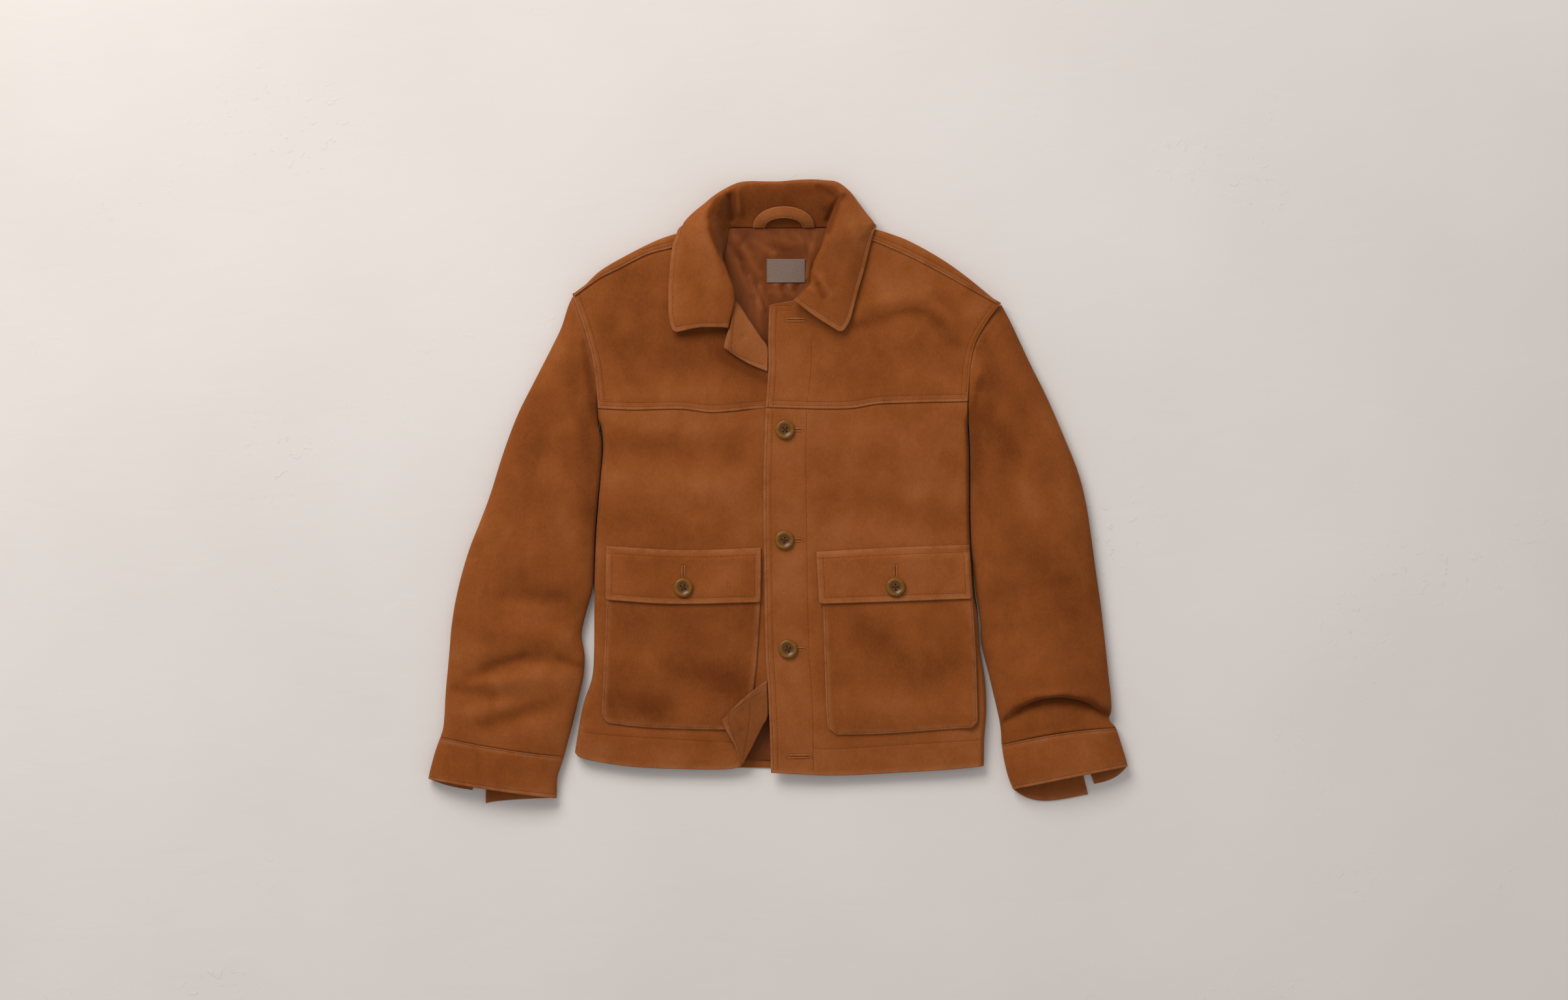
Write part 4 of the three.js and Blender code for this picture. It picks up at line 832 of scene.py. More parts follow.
def shoulder(name, node, side, tone):
    left = side == "left"
    line, seam = (shoulder_line_left, shoulder_seam_left) if left else (shoulder_line_right, shoulder_seam_right)
    start, end = (-250.4, -80) if left else (78, 268.9)
    top = under_front if left else over_front
    x = np.linspace(start, end, 70)
    lift = back_lift(x, np.full_like(x, 318.0))
    crest = top(x, seam(x)) + YOKE_STEP
    middle, half = (lift + crest) / 2, (crest - lift) / 2
    finish = seam(x) + 0.5
    reach = np.minimum(SHOULDER_TURN, 0.6 * (line(x) - finish))
    near = line(x) - reach
    columns = []
    for a in np.linspace(0, 0.94, 15):
        turn = SHOULDER_TURN if a < 0.5 else reach
        y = line(x) - turn + turn * math.sin(a * math.pi)
        columns.append(grid_of(x, y, middle - half * math.cos(a * math.pi)))
    for offset in (12, 10.2, 8.9, 7.6, 6.2, 4.4, 3.2, 2.2, 1.2, 0):
        y = np.minimum(finish + offset, mix(near, finish, 0.06 + (12 - offset) / 14))
        columns.append(grid_of(x, np.where(offset == 0, finish, y), crest))
    grid = np.stack(columns, axis=1)
    height = lambda px, py: np.interp(px, x, crest)
    rows = []
    for offset in (3.6, 8.6):
        inside = x[(x > start + 4) & (x < end - 4) & (line(x) - seam(x) > offset + 4.5)]
        rows.append(plan_path(seam, inside[0], inside[-1], height, offset))
    edge = np.broadcast_to(grid[..., 1] - finish[:, None], grid.shape[:2])
    edge = np.where(np.arange(grid.shape[1])[None] < 12, FAR_FROM_EDGE, edge)
    grid = sew(grid, outward(grid), rows)
    return keep(shell(name, grid, PANEL, tan_suede, edge, tone), node, grid)


shoulder("shoulder_of_suede_left", "shoulder_left", "left", 0.02)
shoulder("shoulder_of_suede_right", "shoulder_right", "right", -0.03)


# %% [markdown]
# The right front laps over the left one, and along the buttons it is folded double, so its wall is thicker
# there. The height of each front comes from the same folds and waves, so the layers never cross.

# %% Yokes and lower fronts
def placket_depth(x):
    return mix(PLACKET, PANEL, ramp(37, 48, x))


def yoke_height(side):
    top, seam = (under_front, yoke_seam_left) if side == "left" else (over_front, yoke_seam_right)
    shoulder_seam = shoulder_seam_left if side == "left" else shoulder_seam_right

    def height(x, y):
        shown = 1 - ramp(-42, -20, x) if side == "left" else 1.0
        lapped = YOKE_STEP * shown * (1 - ramp(10, 35, y - seam(x)))
        tucked = 0.75 * ramp(-5, 0, y - shoulder_seam(x))
        return top(x, y) + lapped - tucked

    return height


def lower_height(side):
    top, seam = (under_front, yoke_seam_left) if side == "left" else (over_front, yoke_seam_right)
    return lambda x, y: top(x, y) - 0.8 * ramp(-3, 0.5, y - seam(x))


def left_side_line(y):
    return np.where(y > UNDERARM_Y, arm_left(y), side_left(y)) + 0.4


def right_side_line(y):
    return np.where(y > UNDERARM_Y, arm_right(y), side_right(y)) - 0.4


TUCK = (0, 1.5, 3, 5, 7, 8.5, 10)
height = yoke_height("left")
rows = [plan_path(yoke_seam_left, -219, 12, height, d) for d in (4, 9.4)]
rows += [plan_path(arm_left, 112, top, height, d, along_y=True) for d, top in ((3.2, 239), (9, 242))]
yoke_left, grid = stitched_panel(
    "yoke_of_suede_left", shift(arm_left, 0.4), shift(under_edge, -0.4), shift(yoke_seam_left, 0.3),
    shift(shoulder_seam_left, 5), stations([56], EDGE, FEW), stations([46], EDGE, TUCK), height, 1.8, tan_suede,
    rows, -0.02, "bl")
keep(yoke_left, "front_yoke_left", grid)

height = yoke_height("right")
rows = [plan_path(yoke_seam_right, -8, 230, height, d) for d in (4, 9.4)]
rows += [plan_path(arm_right, 116, top, height, -d, along_y=True) for d, top in ((3.2, 228), (9, 230))]
rows += [plan_path(over_edge, 104, 226, height, d, along_y=True) for d in (3.2, 9)]
rows += [plan_path(placket_stitch, 104, 214, height, 0, along_y=True)]
rows += [plan_path(level(228.5), -6, 17, height), plan_path(level(222.5), 0, 16, height)]
PLACKET_LINE = (placket_stitch, (-2.5, -1.2, 0, 1.2, 2.5))

def under_end_rows(x):
    """A line at y 227 that stays at least 12 mm below the shoulder seam."""
    return np.minimum(227.0, shoulder_seam_right(x) - 12)


yoke_right, grid = stitched_panel(
    "yoke_of_suede_right", over_edge, shift(arm_right, -0.4), shift(yoke_seam_right, 0.3),
    shift(shoulder_seam_right, 5), stations([46], EDGE, EDGE),
    stations([28, 22], EDGE, TUCK, [(under_end_rows, (-6, -4, -2.5, -1, 0.5, 2, 3.5, 5))]), height, placket_depth,
    tan_suede, rows, 0.03, "bl")
keep(yoke_right, "front_yoke_right", grid)

SIDE = (0, 1.6, 2.6, 3.6, 4.8, 6.2, 7.6, 9.5, 12)
height = lower_height("left")
HEM_LINES_LEFT = [(hem_stitch_left, (-3, -1.2, 0, 1.2, 3))]
rows = [plan_path(hem_stitch_left, -246, -56, height)]
lower_left, grid = stitched_panel(
    "lower_front_left", left_side_line, shift(under_edge, -0.4), hem_left, shift(yoke_seam_left, 8),
    stations([60], SIDE, FEW), stations([8, 98], (0, 1.2, 2.4, 4), TUCK, HEM_LINES_LEFT), height, 1.8, tan_suede,
    rows, 0.02, "b")
keep(lower_left, "front_lower_left", grid)

height = lower_height("right")
rows = [plan_path(hem_stitch_right, 42, 250, height)]
rows += [plan_path(over_edge, -342, 96, height, d, along_y=True) for d in (3.2, 9)]
rows += [plan_path(placket_stitch, -344, 98, height, 0, along_y=True)]
lower_right, grid = stitched_panel(
    "lower_front_right", over_edge, right_side_line, hem_right, shift(yoke_seam_right, 8),
    stations([8, 52], EDGE, SIDE, [PLACKET_LINE]),
    stations([8, 98], (0, 1.2, 2.4, 4), TUCK, [(hem_stitch_right, (-3, -1.2, 0, 1.2, 3))]), height,
    placket_depth, tan_suede, rows, 0.04, "bl")
keep(lower_right, "front_lower_right", grid)

# %% [markdown]
# ## The two turned corners
#
# The under front's corners have flipped outward, at the neck and at the hem, and show the facing inside. Each
# is a soft flap: two layers with a pressed edge, a rounded fold on one side and a free edge standing up on the
# other. The free edge throws the darkest shadow on the whole jacket, so its height matters more than its form.

# %% Turned corners
CORNERS = {
    "top": [(-53.2, 233, -49.8, 233, 8.6, 5), (-57.6, 214, -38, 214.5, 8.4, 4.4),
            (-60.6, 200, -28.5, 200.5, 7.8, 4), (-63.8, 190, -21, 189, 7, 3.8),
            (-66.5, 178, -12.9, 176, 6.4, 3.6), (-65.6, 176, -12.9, 147.5, 5.8, 3.6)],
    "bottom": [(-46.2, -335.5, -43.6, -335.5, 4.6, 4), (-52, -315, -33, -316, 6.4, 4),
               (-58, -304, -25.5, -301, 7.6, 4), (-64, -293, -18.5, -287, 8.6, 4),
               (-68.6, -281, -13, -274, 9, 4), (-67, -278.5, -14, -232, 9, 4.4)],
}


def columns_of(rows, fine):
    """Each column of a table as a smooth line over its row number, read at finer steps."""
    rows = np.array(rows, float)
    number = np.arange(len(rows))
    return [track(list(zip(number, column)))(fine) for column in rows.T]


def corner(name, node, rows, flip, stitch_shares, dimple, tone):
    last = len(rows) - 1
    fine = np.concatenate([np.linspace(0, last - 1, 40), last - 1 + np.linspace(0.06, 1, 16)])
    outer_x, outer_y, fold_x, fold_y, outer_rise, fold_rise = (c[:, None] for c in columns_of(rows, fine))
    t = np.concatenate([[0, 0.02, 0.045, 0.07], np.linspace(0.1, 1, 26)])[None]
    x = mix(outer_x, fold_x, t)
    sag = 3.2 * np.sin(math.pi * t) * np.sign(fold_y) * ramp(last - 1, last, fine)[:, None]
    y = mix(outer_y, fold_y, t) - sag
    rise = mix(outer_rise, fold_rise, t ** 1.8)
    lip = 0.5 * np.exp(-(((t - 0.1) / 0.07) ** 2))
    pit = 1.1 * np.exp(-((x - dimple[0]) ** 2 + (y - dimple[1]) ** 2) / 14)
    grid = grid_of(x, y, under_front(x, y) + rise + lip - pit)
    normals = upright(grid)
    paths = []
    for share in stitch_shares:
        column = int(np.argmin(np.abs(t[0] - share)))
        paths.append((grid[3:-6, column], normals[3:-6, column]))
    paths.append((grid[-5, 3:-3], normals[-5, 3:-3]))
    grid = sew(grid, normals, paths, 0.35)
    edge = np.minimum(t * 50 + 0 * x, (last - fine)[:, None] * 22)
    made = shell(name, grid, 3.2, facing_suede, edge, tone, flip=flip, straight=True)
    return keep(made, node, grid)


corner("turned_corner_top", "front_corner_top", CORNERS["top"], True, [0.16], (-42.5, 190), 0.08)
# The bottom corner's tone of -0.2 is painted shade, for the placket's shadow on it.
corner("turned_corner_bottom", "front_corner_bottom", CORNERS["bottom"], False, [0.14, 0.62], (-44, -294),
       -0.2)

# %% [markdown]
# ## Collar
#
# The collar is one piece that stands round the neck, rolls over and falls outward. A row of the table is one
# cut across it, at four places: the neck seam, the top of the roll, the middle of the fall and the outer edge.
# A smooth curve through the four gives the cut, and the rows run from the left point round to the right point.

# %% Collar
COLLAR = [
    (-62.5, 200, 25.5, -61, 200.5, 27.5, -95, 201, 28.5, -129, 194.5, 25),
    (-58.5, 215, 26, -57, 216, 28.5, -96, 217, 30, -134.3, 214, 23),
    (-54.8, 231, 25, -52.8, 233, 29, -95, 236, 30.5, -135, 235, 22),
    (-61, 243, 21, -53, 244, 30, -96, 250, 30.5, -135, 252, 21.5),
    (-65.2, 253, 20, -55.5, 253, 31, -97, 262, 30.5, -134, 266, 21.5),
    (-68, 266, 19, -60.5, 266, 32.5, -98, 275, 31, -133, 279, 21.5),
    (-69, 278, 15, -66, 279, 34, -99, 288, 31.5, -131.5, 292, 21.5),
    (-68, 289, 12.3, -72, 289.5, 35, -102, 300, 32, -129.5, 304, 21.5),
    (-65, 300, 10.3, -77, 300, 35.5, -104, 309, 32, -126, 313, 21.5),
    (-62.5, 312, 9, -81.5, 311, 36, -106, 319, 31, -124, 321, 19),
    (-61, 320, 8.2, -84, 321, 36, -112, 326.5, 26, -121, 325.5, 11),
    (-60, 324, 7.8, -85, 331, 35, -113.5, 333, 18, -116.5, 327, 2.6),
    (-58.5, 324.6, 7.6, -85, 341, 34, -104, 343.5, 16, -107, 321, -7),
    (-57.5, 324.8, 7.4, -81, 351, 32.5, -92, 353, 14, -93, 318, -7),
    (-56, 325, 7.4, -73, 361, 29, -80, 362.5, 13, -78, 315, -7),
    (-53, 325, 7.4, -60, 369, 26, -66, 371.5, 11, -62, 312, -7),
    (-47, 325, 7.4, -48, 374, 22, -50, 379.5, 10, -46, 309, -7),
    (-36, 325, 7.4, -35, 376.5, 19.5, -34, 381.8, 9, -32, 307, -7),
    (-18, 325, 7.4, -17, 377, 18.5, -16, 381.5, 9, -16, 306, -7),
    (2, 325, 7.4, 2, 377, 18.5, 2, 381.5, 9, 2, 305, -7),
    (20, 325, 7.4, 20, 378, 18.5, 20, 383.2, 9, 20, 305, -7),
    (36, 325, 7.4, 37, 378.5, 19.5, 38, 384, 9, 36, 306, -7),
    (50, 325, 7.4, 53, 377, 22, 55, 383, 10, 50, 308, -7),
    (57, 324.8, 7.4, 67, 373, 25.5, 73, 380.5, 11, 64, 312, -7),
    (60, 324.4, 7.6, 77, 364, 29, 88, 369.5, 13, 80, 315, -7),
    (61.5, 323.6, 7.8, 72.5, 352, 32, 99, 355.5, 15, 96, 319, -7),
    (62.3, 322, 8.4, 66.5, 338, 34, 108, 342.5, 18, 110, 323, -7),
    (63, 319.5, 9.2, 62.5, 328, 35, 114, 333, 22, 118.5, 329, 4),
    (64, 315, 10.8, 59, 318, 35.5, 112, 326.5, 27, 121.5, 326.5, 13),
    (63.5, 308, 12.5, 55.5, 308, 35.5, 102, 315, 31, 118.5, 320.5, 21.3),
    (62, 300, 15, 52, 298, 35, 93, 304, 31.5, 114.5, 307, 21.5),
    (60, 290, 18, 47.5, 289, 34.5, 87, 293, 31, 110.5, 291, 21.5),
    (57, 280, 20, 43.5, 280, 33, 82, 281, 30.5, 107, 276, 21.5),
    (53.5, 270, 20.5, 40.8, 270, 31.5, 78, 269, 30, 102.5, 260, 21.5),
    (48.5, 261, 21, 40, 261, 30.5, 74, 256, 29.5, 97.5, 243, 22),
    (43.5, 254, 21.5, 38.5, 254, 29.5, 69, 243, 29.5, 92.5, 224, 23),
    (32, 244, 23.5, 28.5, 244.5, 28.5, 60, 229, 29.5, 88, 209, 24.5),
    (20.5, 233.5, 24.8, 18.5, 235, 27.5, 46, 214, 29, 78.5, 194, 26),
]
COLLAR_FOLDS = [
    (50, 252, 57, 238, 3.4, -2.4), (54, 262, 66, 240, 4.5, 1.6),
    (33, 250, 44, 243, 2.6, 1.2), (-80, 330, -84, 352, 5, -1.3),
    (-84, 235, -100, 262, 9, -0.9), (-110, 225, -96, 205, 8, 0.8), (72, 255, 84, 300, 9, -0.8),
    (-70, 300, -92, 330, 6, 1.0), (-10, 352, 18, 356, 10, -1.2), (-38, 350, -30, 368, 7, 1.0),
    (86, 345, 100, 320, 8, 0.9),
]


# These lie on the stand only, inside the roll.
STAND_FOLDS = [
    (-57, 336, -60, 362, 3.6, -6.5), (-50, 374, -46, 344, 3.6, 3.0), (-70, 368, -72, 345, 5, 1.6),
    (62, 334, 72, 356, 4.0, -4.5), (50, 374, 66, 362, 3.8, -3.4), (44, 372, 55, 350, 4, 2.2),
    (60, 378, 72, 370, 3.4, 2.2), (-66, 320, -72, 296, 4, -1.5), (-10, 332, 26, 333, 5, -1.0),
]


def curve_through(four, t):
    """A soft curve through four points, with its bends spaced by their distances."""
    first, second, third, fourth = four
    chain = [2 * first - second, first, second, third, fourth, 2 * fourth - third]
    piece = np.minimum((t * 3).astype(int), 2)
    w = (t * 3 - piece)[:, None]
    gaps = [np.sqrt(np.linalg.norm(b - a)) for a, b in zip(chain, chain[1:])]
    result = np.zeros((len(t), 3))
    for k in range(3):
        p0, p1, p2, p3 = chain[k:k + 4]
        d0, d1, d2 = gaps[k:k + 3]
        m1 = ((p1 - p0) / d0 - (p2 - p0) / (d0 + d1) + (p2 - p1) / d1) * d1
        m2 = ((p2 - p1) / d1 - (p3 - p1) / (d1 + d2) + (p3 - p2) / d2) * d1
        bent = p1 + m1 * w + (-3 * p1 + 3 * p2 - 2 * m1 - m2) * w ** 2 + (2 * p1 - 2 * p2 + m1 + m2) * w ** 3
        result[piece == k] = bent[piece == k]
    return result


EDGE_STEPS = np.array([0, 1.2, 2.4, 3.8, 4.8, 5.8, 6.8, 8.4, 11])
number = np.arange(len(COLLAR))
AT_POINT = np.array([0, 0.07, 0.14, 0.21, 0.275, 0.34, 0.405, 0.48, 0.58, 0.7, 0.85])
fine = np.unique(np.concatenate([AT_POINT, np.linspace(1, len(COLLAR) - 2, 240), len(COLLAR) - 1 - AT_POINT]))
values = np.stack(columns_of(COLLAR, fine), axis=-1).reshape(len(fine), 4, 3)
sections, from_roll = [], []
for four in values:
    cut = curve_through(four, np.linspace(0, 1, 120))
    cut[:, 2] = np.maximum(cut[:, 2], 0)
    length = np.concatenate([[0], np.cumsum(np.linalg.norm(np.diff(cut, axis=0), axis=1))])
    from_outer = length[-1] - EDGE_STEPS
    at = np.concatenate([np.linspace(0, from_outer[-1], 48)[:-1], from_outer[::-1]])
    sections.append(np.stack([np.interp(at, length, cut[:, k]) for k in range(3)], axis=-1))
    from_roll.append(at - np.interp(1 / 3, np.linspace(0, 1, 120), length))
grid = np.array(sections)
facing = outward(grid, flip=True)
upper = ramp(0.15, 0.6, facing[..., 2])
from_roll = np.array(from_roll)
inside_roll = ramp(1, -5, from_roll)
soft = folds(COLLAR_FOLDS, grid[..., 0], grid[..., 1]) + waviness(grid[..., 0], grid[..., 1], 0.14)
soft += folds(STAND_FOLDS, grid[..., 0], grid[..., 1]) * inside_roll
grid = grid + (0, 0, 1) * (soft * upper)[..., None]
grid[..., 2] = np.maximum(grid[..., 2], 0)
facing = outward(grid, flip=True)
column = grid.shape[1] - 1 - 5
first_shown, last_shown = 5, len(fine) - 6
fall_left = slice(first_shown, int(np.searchsorted(fine, 10.4)))
fall_right = slice(int(np.searchsorted(fine, 27.6)), last_shown)
paths = [(grid[part, column], facing[part, column]) for part in (fall_left, fall_right)]
for row in (first_shown, last_shown):
    span = slice(int(grid.shape[1] * 0.16), column + 1)
    paths.append((grid[row, span], facing[row, span]))
grid = sew(grid, facing, paths)
round_corner(grid, False, True, 6.5)
round_corner(grid, True, True, 6.5)
from_outer_edge = np.zeros(grid.shape[:2]) + 40
along = np.linalg.norm(np.diff(grid, axis=1), axis=-1)
from_outer_edge[:, :-1] = np.cumsum(along[:, ::-1], axis=1)[:, ::-1]
from_outer_edge[:, -1] = 0
rows_from_end = np.minimum(fine, fine[-1] - fine)[:, None] * 14
edge = np.minimum(np.where(from_outer_edge < 20, from_outer_edge, 40), rows_from_end + 0.5)
# Inside the roll the stand is painted darker, as it faces away from the light: painted shade.
nap = mix(-0.3, 0.03, ramp(-1.5, 4.5, from_roll))
collar = shell("collar_of_suede", grid, 2.4, tan_suede, edge, nap, flip=True)
keep(collar, "collar", grid)

# %% [markdown]
# The loop is a narrow strip of suede sewn into the back neck seam. The label is a bare piece of woven tape
# on the lining. Both are small sheets, made like the other panels.

# %% Hanger loop and label
turn = math.pi * np.linspace(0.0, 1.0, 70)[:, None]
across = np.array([0, 0.08, 0.18, 0.3, 0.42, 0.54, 0.66, 0.76, 0.82, 0.87, 0.93, 1.0])[None]
x = 7 - np.cos(turn) * mix(38, 23, across)
y = 324.4 + np.sin(turn) ** 0.9 * mix(26, 11.5, across)
z = 8.6 + 11.4 * np.sin(turn) ** 0.75 + 0.9 * np.sin(math.pi * across)
grid = grid_of(x, y, z)
facing_up = upright(grid)
grid = sew(grid, facing_up, [(grid[2:-2, 9], facing_up[2:-2, 9])], 0.35)
loop = shell("hanger_loop_of_suede", grid, 2, facing_suede, 40 * np.sin(math.pi * across) + 0 * x, -0.02,
             straight=True)
keep(loop, "hanger_loop", grid)


def label_height(y):
    return lining_level(y) + 1.6


x, y = spread(level(-14.5), level(33.5), level(257.5), level(286.5), stations([20], (0, 0.7, 1.6, 2.6),
              (0, 0.7, 1.6, 2.6)), stations([12], (0, 0.7, 1.6, 2.6), (0, 0.7, 1.6, 2.6)))
z = label_height(y) + 0.15 * np.sin(x / 9) + 0.1 * np.sin(y / 6)
grid = grid_of(x, y, z)
label = shell("neck_label_of_tape", grid, 0.9, tape, straight=True)
for column in (1, -2):
    middles = grid[2:-2, column] + (0, 0, 0.02)
    ahead = np.zeros_like(middles) + (0, 1, 0)
    stitch_places.append((middles, ahead, upright(middles)))
keep(label, "neck_label", grid)

# %% [markdown]
# ## Sleeves and cuffs
#
# A sleeve laid flat is a tube that has fallen into a long lens: round at its two edges, broad and soft on top
# and flat underneath. A row of the table is one ring, from its outer to its inner edge. The right sleeve has
# slid back on itself above the cuff, so a few of its rings lean over the ones below and make a deep fold.

# %% Sleeves
SLEEVE_FOLDS = [
    (-352, -216, -252, -206, 13, -4), (-390, -240, -340, -253, 10, -3), (-350, -286, -272, -268, 14, -3.5),
    (-330, -235, -262, -232, 12, 2.5), (-320, -120, -285, -165, 20, -3.5), (-345, -170, -262, -182, 14, 3),
    (-300, 110, -262, 20, 16, -2.5), (288, 60, 300, -40, 24, -3), (285, -130, 300, -200, 18, -3.5),
    (360, -120, 385, -210, 16, -2.5), (300, 150, 330, 60, 18, 2),
    (-372, -60, -330, -140, 18, -1.6), (-262, -60, -290, -20, 14, -1.2), (-300, 160, -280, 190, 14, -1.0),
    (-395, -190, -360, -205, 10, 1.4), (-404, -272, -360, -280, 9, 1.3), (-270, -130, -248, -150, 9, -1.6),
    (-378, -227, -312, -203, 7, -2.4), (-370, -236, -285, -222, 8, 2.2), (-268, -206, -243, -214, 5, -2.2),
    (-398, -242, -350, -253, 6, -1.6), (-363, -288, -300, -268, 9, -1.4), (-335, -130, -270, -134, 8, -1.6),
    (-322, -146, -270, -152, 8, 1.6),
    (270, 120, 262, 60, 12, -1.6), (330, -40, 372, -90, 16, 1.3), (262, -120, 300, -100, 12, 1.3),
    (340, -180, 300, -235, 13, 1.4), (395, -150, 372, -60, 14, -1.3), (350, -292, 300, -300, 7, -1.2),
    (375, -235, 330, -232, 10, 1.2), (300, -268, 285, -235, 8, -1.6),
]
SLEEVE_LEFT = [
    (-253.6, 239.5, -223.9, 88, 15.5, 0, 1), (-259, 227, -223.2, 80, 18, 0, 0.9),
    (-267, 202, -220, 70, 21.5, 0, 0.7), (-280, 175, -217.8, 64, 23, 0, 0.45),
    (-300, 136, -217.3, 48, 24, 0, 0.2), (-321, 94, -218.6, 29, 24.5, 0, 0),
    (-339, 46, -220.4, 8, 24.5, 0, 0), (-354, -2, -222.6, -15, 24.5, 0, 0),
    (-367, -37, -224.6, -38, 24, 0, 0), (-380, -70, -226.2, -62, 24, 0, 0),
    (-390.5, -105, -227.2, -90, 24, 0, 0), (-398, -138, -228.6, -120, 24, 0, 0),
    (-402.5, -168, -236.5, -150, 24, 0, 0), (-404.5, -192, -242, -176, 24, 0, 0),
    (-406.5, -215, -238.5, -200, 24, 0, 0), (-408.5, -236, -239.5, -226, 24, 0, 0),
    (-410, -256, -245, -252, 24, 0, 0), (-411, -276, -251.5, -280, 23.5, 0, 0),
    (-412.5, -291, -257.5, -303, 23, 0, 0), (-415.7, -301.6, -263.6, -326.6, 22, -2, 0),
]
SLEEVE_RIGHT = [
    (274.6, 230.5, 234.9, 88, 15.5, 0, 1), (280, 220.5, 235.2, 80, 18, 0, 0.9),
    (288, 205, 235.7, 70, 21.5, 0, 0.7), (309, 160, 236.2, 54, 23.5, 0, 0.4),
    (330, 118, 236.5, 36, 25, 0, 0.15), (351, 70, 236.5, 14, 26, 0, 0),
    (369, 25, 236.6, -10, 26, 0, 0), (379, -14, 237, -35, 26, 0, 0), (385, -52, 238, -62, 26, 0, 0),
    (391, -96, 240.3, -95, 25.5, 0, 0), (397, -138, 243.6, -127, 25, 0, 0),
    (401, -172, 248.4, -158, 25, 0, 0), (404.5, -204, 250.2, -188, 25, 0, 0),
    (407, -228, 257, -216, 26, 2, 0), (409.5, -250, 264.5, -247, 28, 8, 0),
    (410.5, -264, 269.4, -268, 30.5, 18, 0), (410, -271.5, 271.6, -278, 29, 24, 0),
    (409, -275, 272.6, -283, 24, 26.5, 0), (407.5, -278, 273.2, -287, 18.5, 33, 0),
    (407.8, -281, 273.8, -291, 16, 37, 0), (409.8, -284, 274.2, -295, 17.5, 30, 0),
    (412.2, -286.5, 274.6, -300, 20, 17, 0), (415.6, -290, 275, -311.4, 21.5, 4, 0),
]
SIDE_HEIGHT = 7.0


def section_height(angle, crown):
    lobe = np.abs(np.sin(angle))
    over = SIDE_HEIGHT + (crown - SIDE_HEIGHT) * lobe ** 0.75
    under = SIDE_HEIGHT * (1 - np.minimum(1, lobe / 0.5) ** 0.6)
    return np.where(np.sin(angle) >= -1e-9, over, under)


def sleeve(name, node, rows, armhole, left, tone):
    fine = np.linspace(0, len(rows) - 1, 170)
    ox, oy, ix, iy, crown, bow, arm = (c[:, None] for c in columns_of(rows, fine))
    angle = 2 * math.pi * np.arange(88)[None] / 88
    share = (1 - np.cos(angle)) / 2
    span_x, span_y = ix - ox, iy - oy
    seam_y = mix(rows[0][1], rows[0][3], share)
    seam_bow = armhole(seam_y) - mix(rows[0][0], rows[0][2], share) + (-0.45 if left else 0.45)
    hump = 4 * share * (1 - share)
    on_top = np.sin(angle) > 0
    lean = np.where(on_top, bow * hump, 0)
    length = np.hypot(span_x, span_y)
    aside = 1 if left else -1
    x = ox + span_x * share + seam_bow * arm * ramp(0, 0.12, hump) - aside * lean * span_y / length
    y = oy + span_y * share + aside * lean * span_x / length
    soft = (folds(SLEEVE_FOLDS, x, y) + waviness(x, y, 0.3)) * np.sin(angle) * (1 - arm)
    z = section_height(angle, crown) + np.where(on_top, soft, 0)
    grid = grid_of(x, y, z)
    under_seam = grid[:1].copy()
    tucked = np.clip(2 * np.sin(angle[0]), 0, 1)
    under_seam[0, :, 0] += 4.5 * aside * tucked
    under_seam[0, :, 2] -= 3.0 * tucked
    inward = -outward(grid, wrap=True, flip=left)[-6]
    onward = unit(grid[-1] - grid[-12])
    into_cuff = [(grid[-1] + onward * reach + inward * depth)[None] for reach, depth in ((0.5, 1.5), (4.5, 2.6))]
    grid = np.concatenate([under_seam, mix(under_seam, grid[:1], 0.55), grid, *into_cuff])
    edge = np.concatenate([[3, 3], fine * 8 + 3, [40, 40]])[:, None] + 0 * grid[..., 0]
    made = shell(name, grid, 1.8, tan_suede, edge, tone, wrap=True, flip=left)
    return keep(made, node, grid, wrap=True)


sleeve("sleeve_of_suede_left", "sleeve_left", SLEEVE_LEFT, arm_left, True, -0.03)
sleeve("sleeve_of_suede_right", "sleeve_right", SLEEVE_RIGHT, arm_right, False, -0.12)

# %% [markdown]
# The cuffs are bands that do not quite close: a slit at the back lets the hand through, and its two ends hang
# a little lower than the front. The open mouth shows the inside of the back layer, in shade.

# %% Cuffs
CUFF_LEFT = [
    (-415.9, -302.1, -263.7, -327.1, 23.5, 0.385, 0.405, 0, 0, -2),
    (-422, -319, -268, -340, 24, 0.375, 0.42, 1.5, 4, -1),
    (-427, -337, -272, -354, 24.5, 0.36, 0.44, 4, 10, -1),
    (-431, -353.5, -272.6, -377.6, 25, 0.346, 0.463, 6.5, 19.8, -1),
]
CUFF_RIGHT = [
    (416.1, -290.9, 275.1, -312, 23.5, 0.335, 0.35, 0, 0, 4),
    (421, -306, 278, -330, 24.5, 0.33, 0.36, 3, 7, 3),
    (426, -322, 282.5, -349, 25.5, 0.32, 0.37, 8, 16, 2),
    (430.7, -338, 289, -366.5, 26, 0.307, 0.378, 14, 25, 1),
]


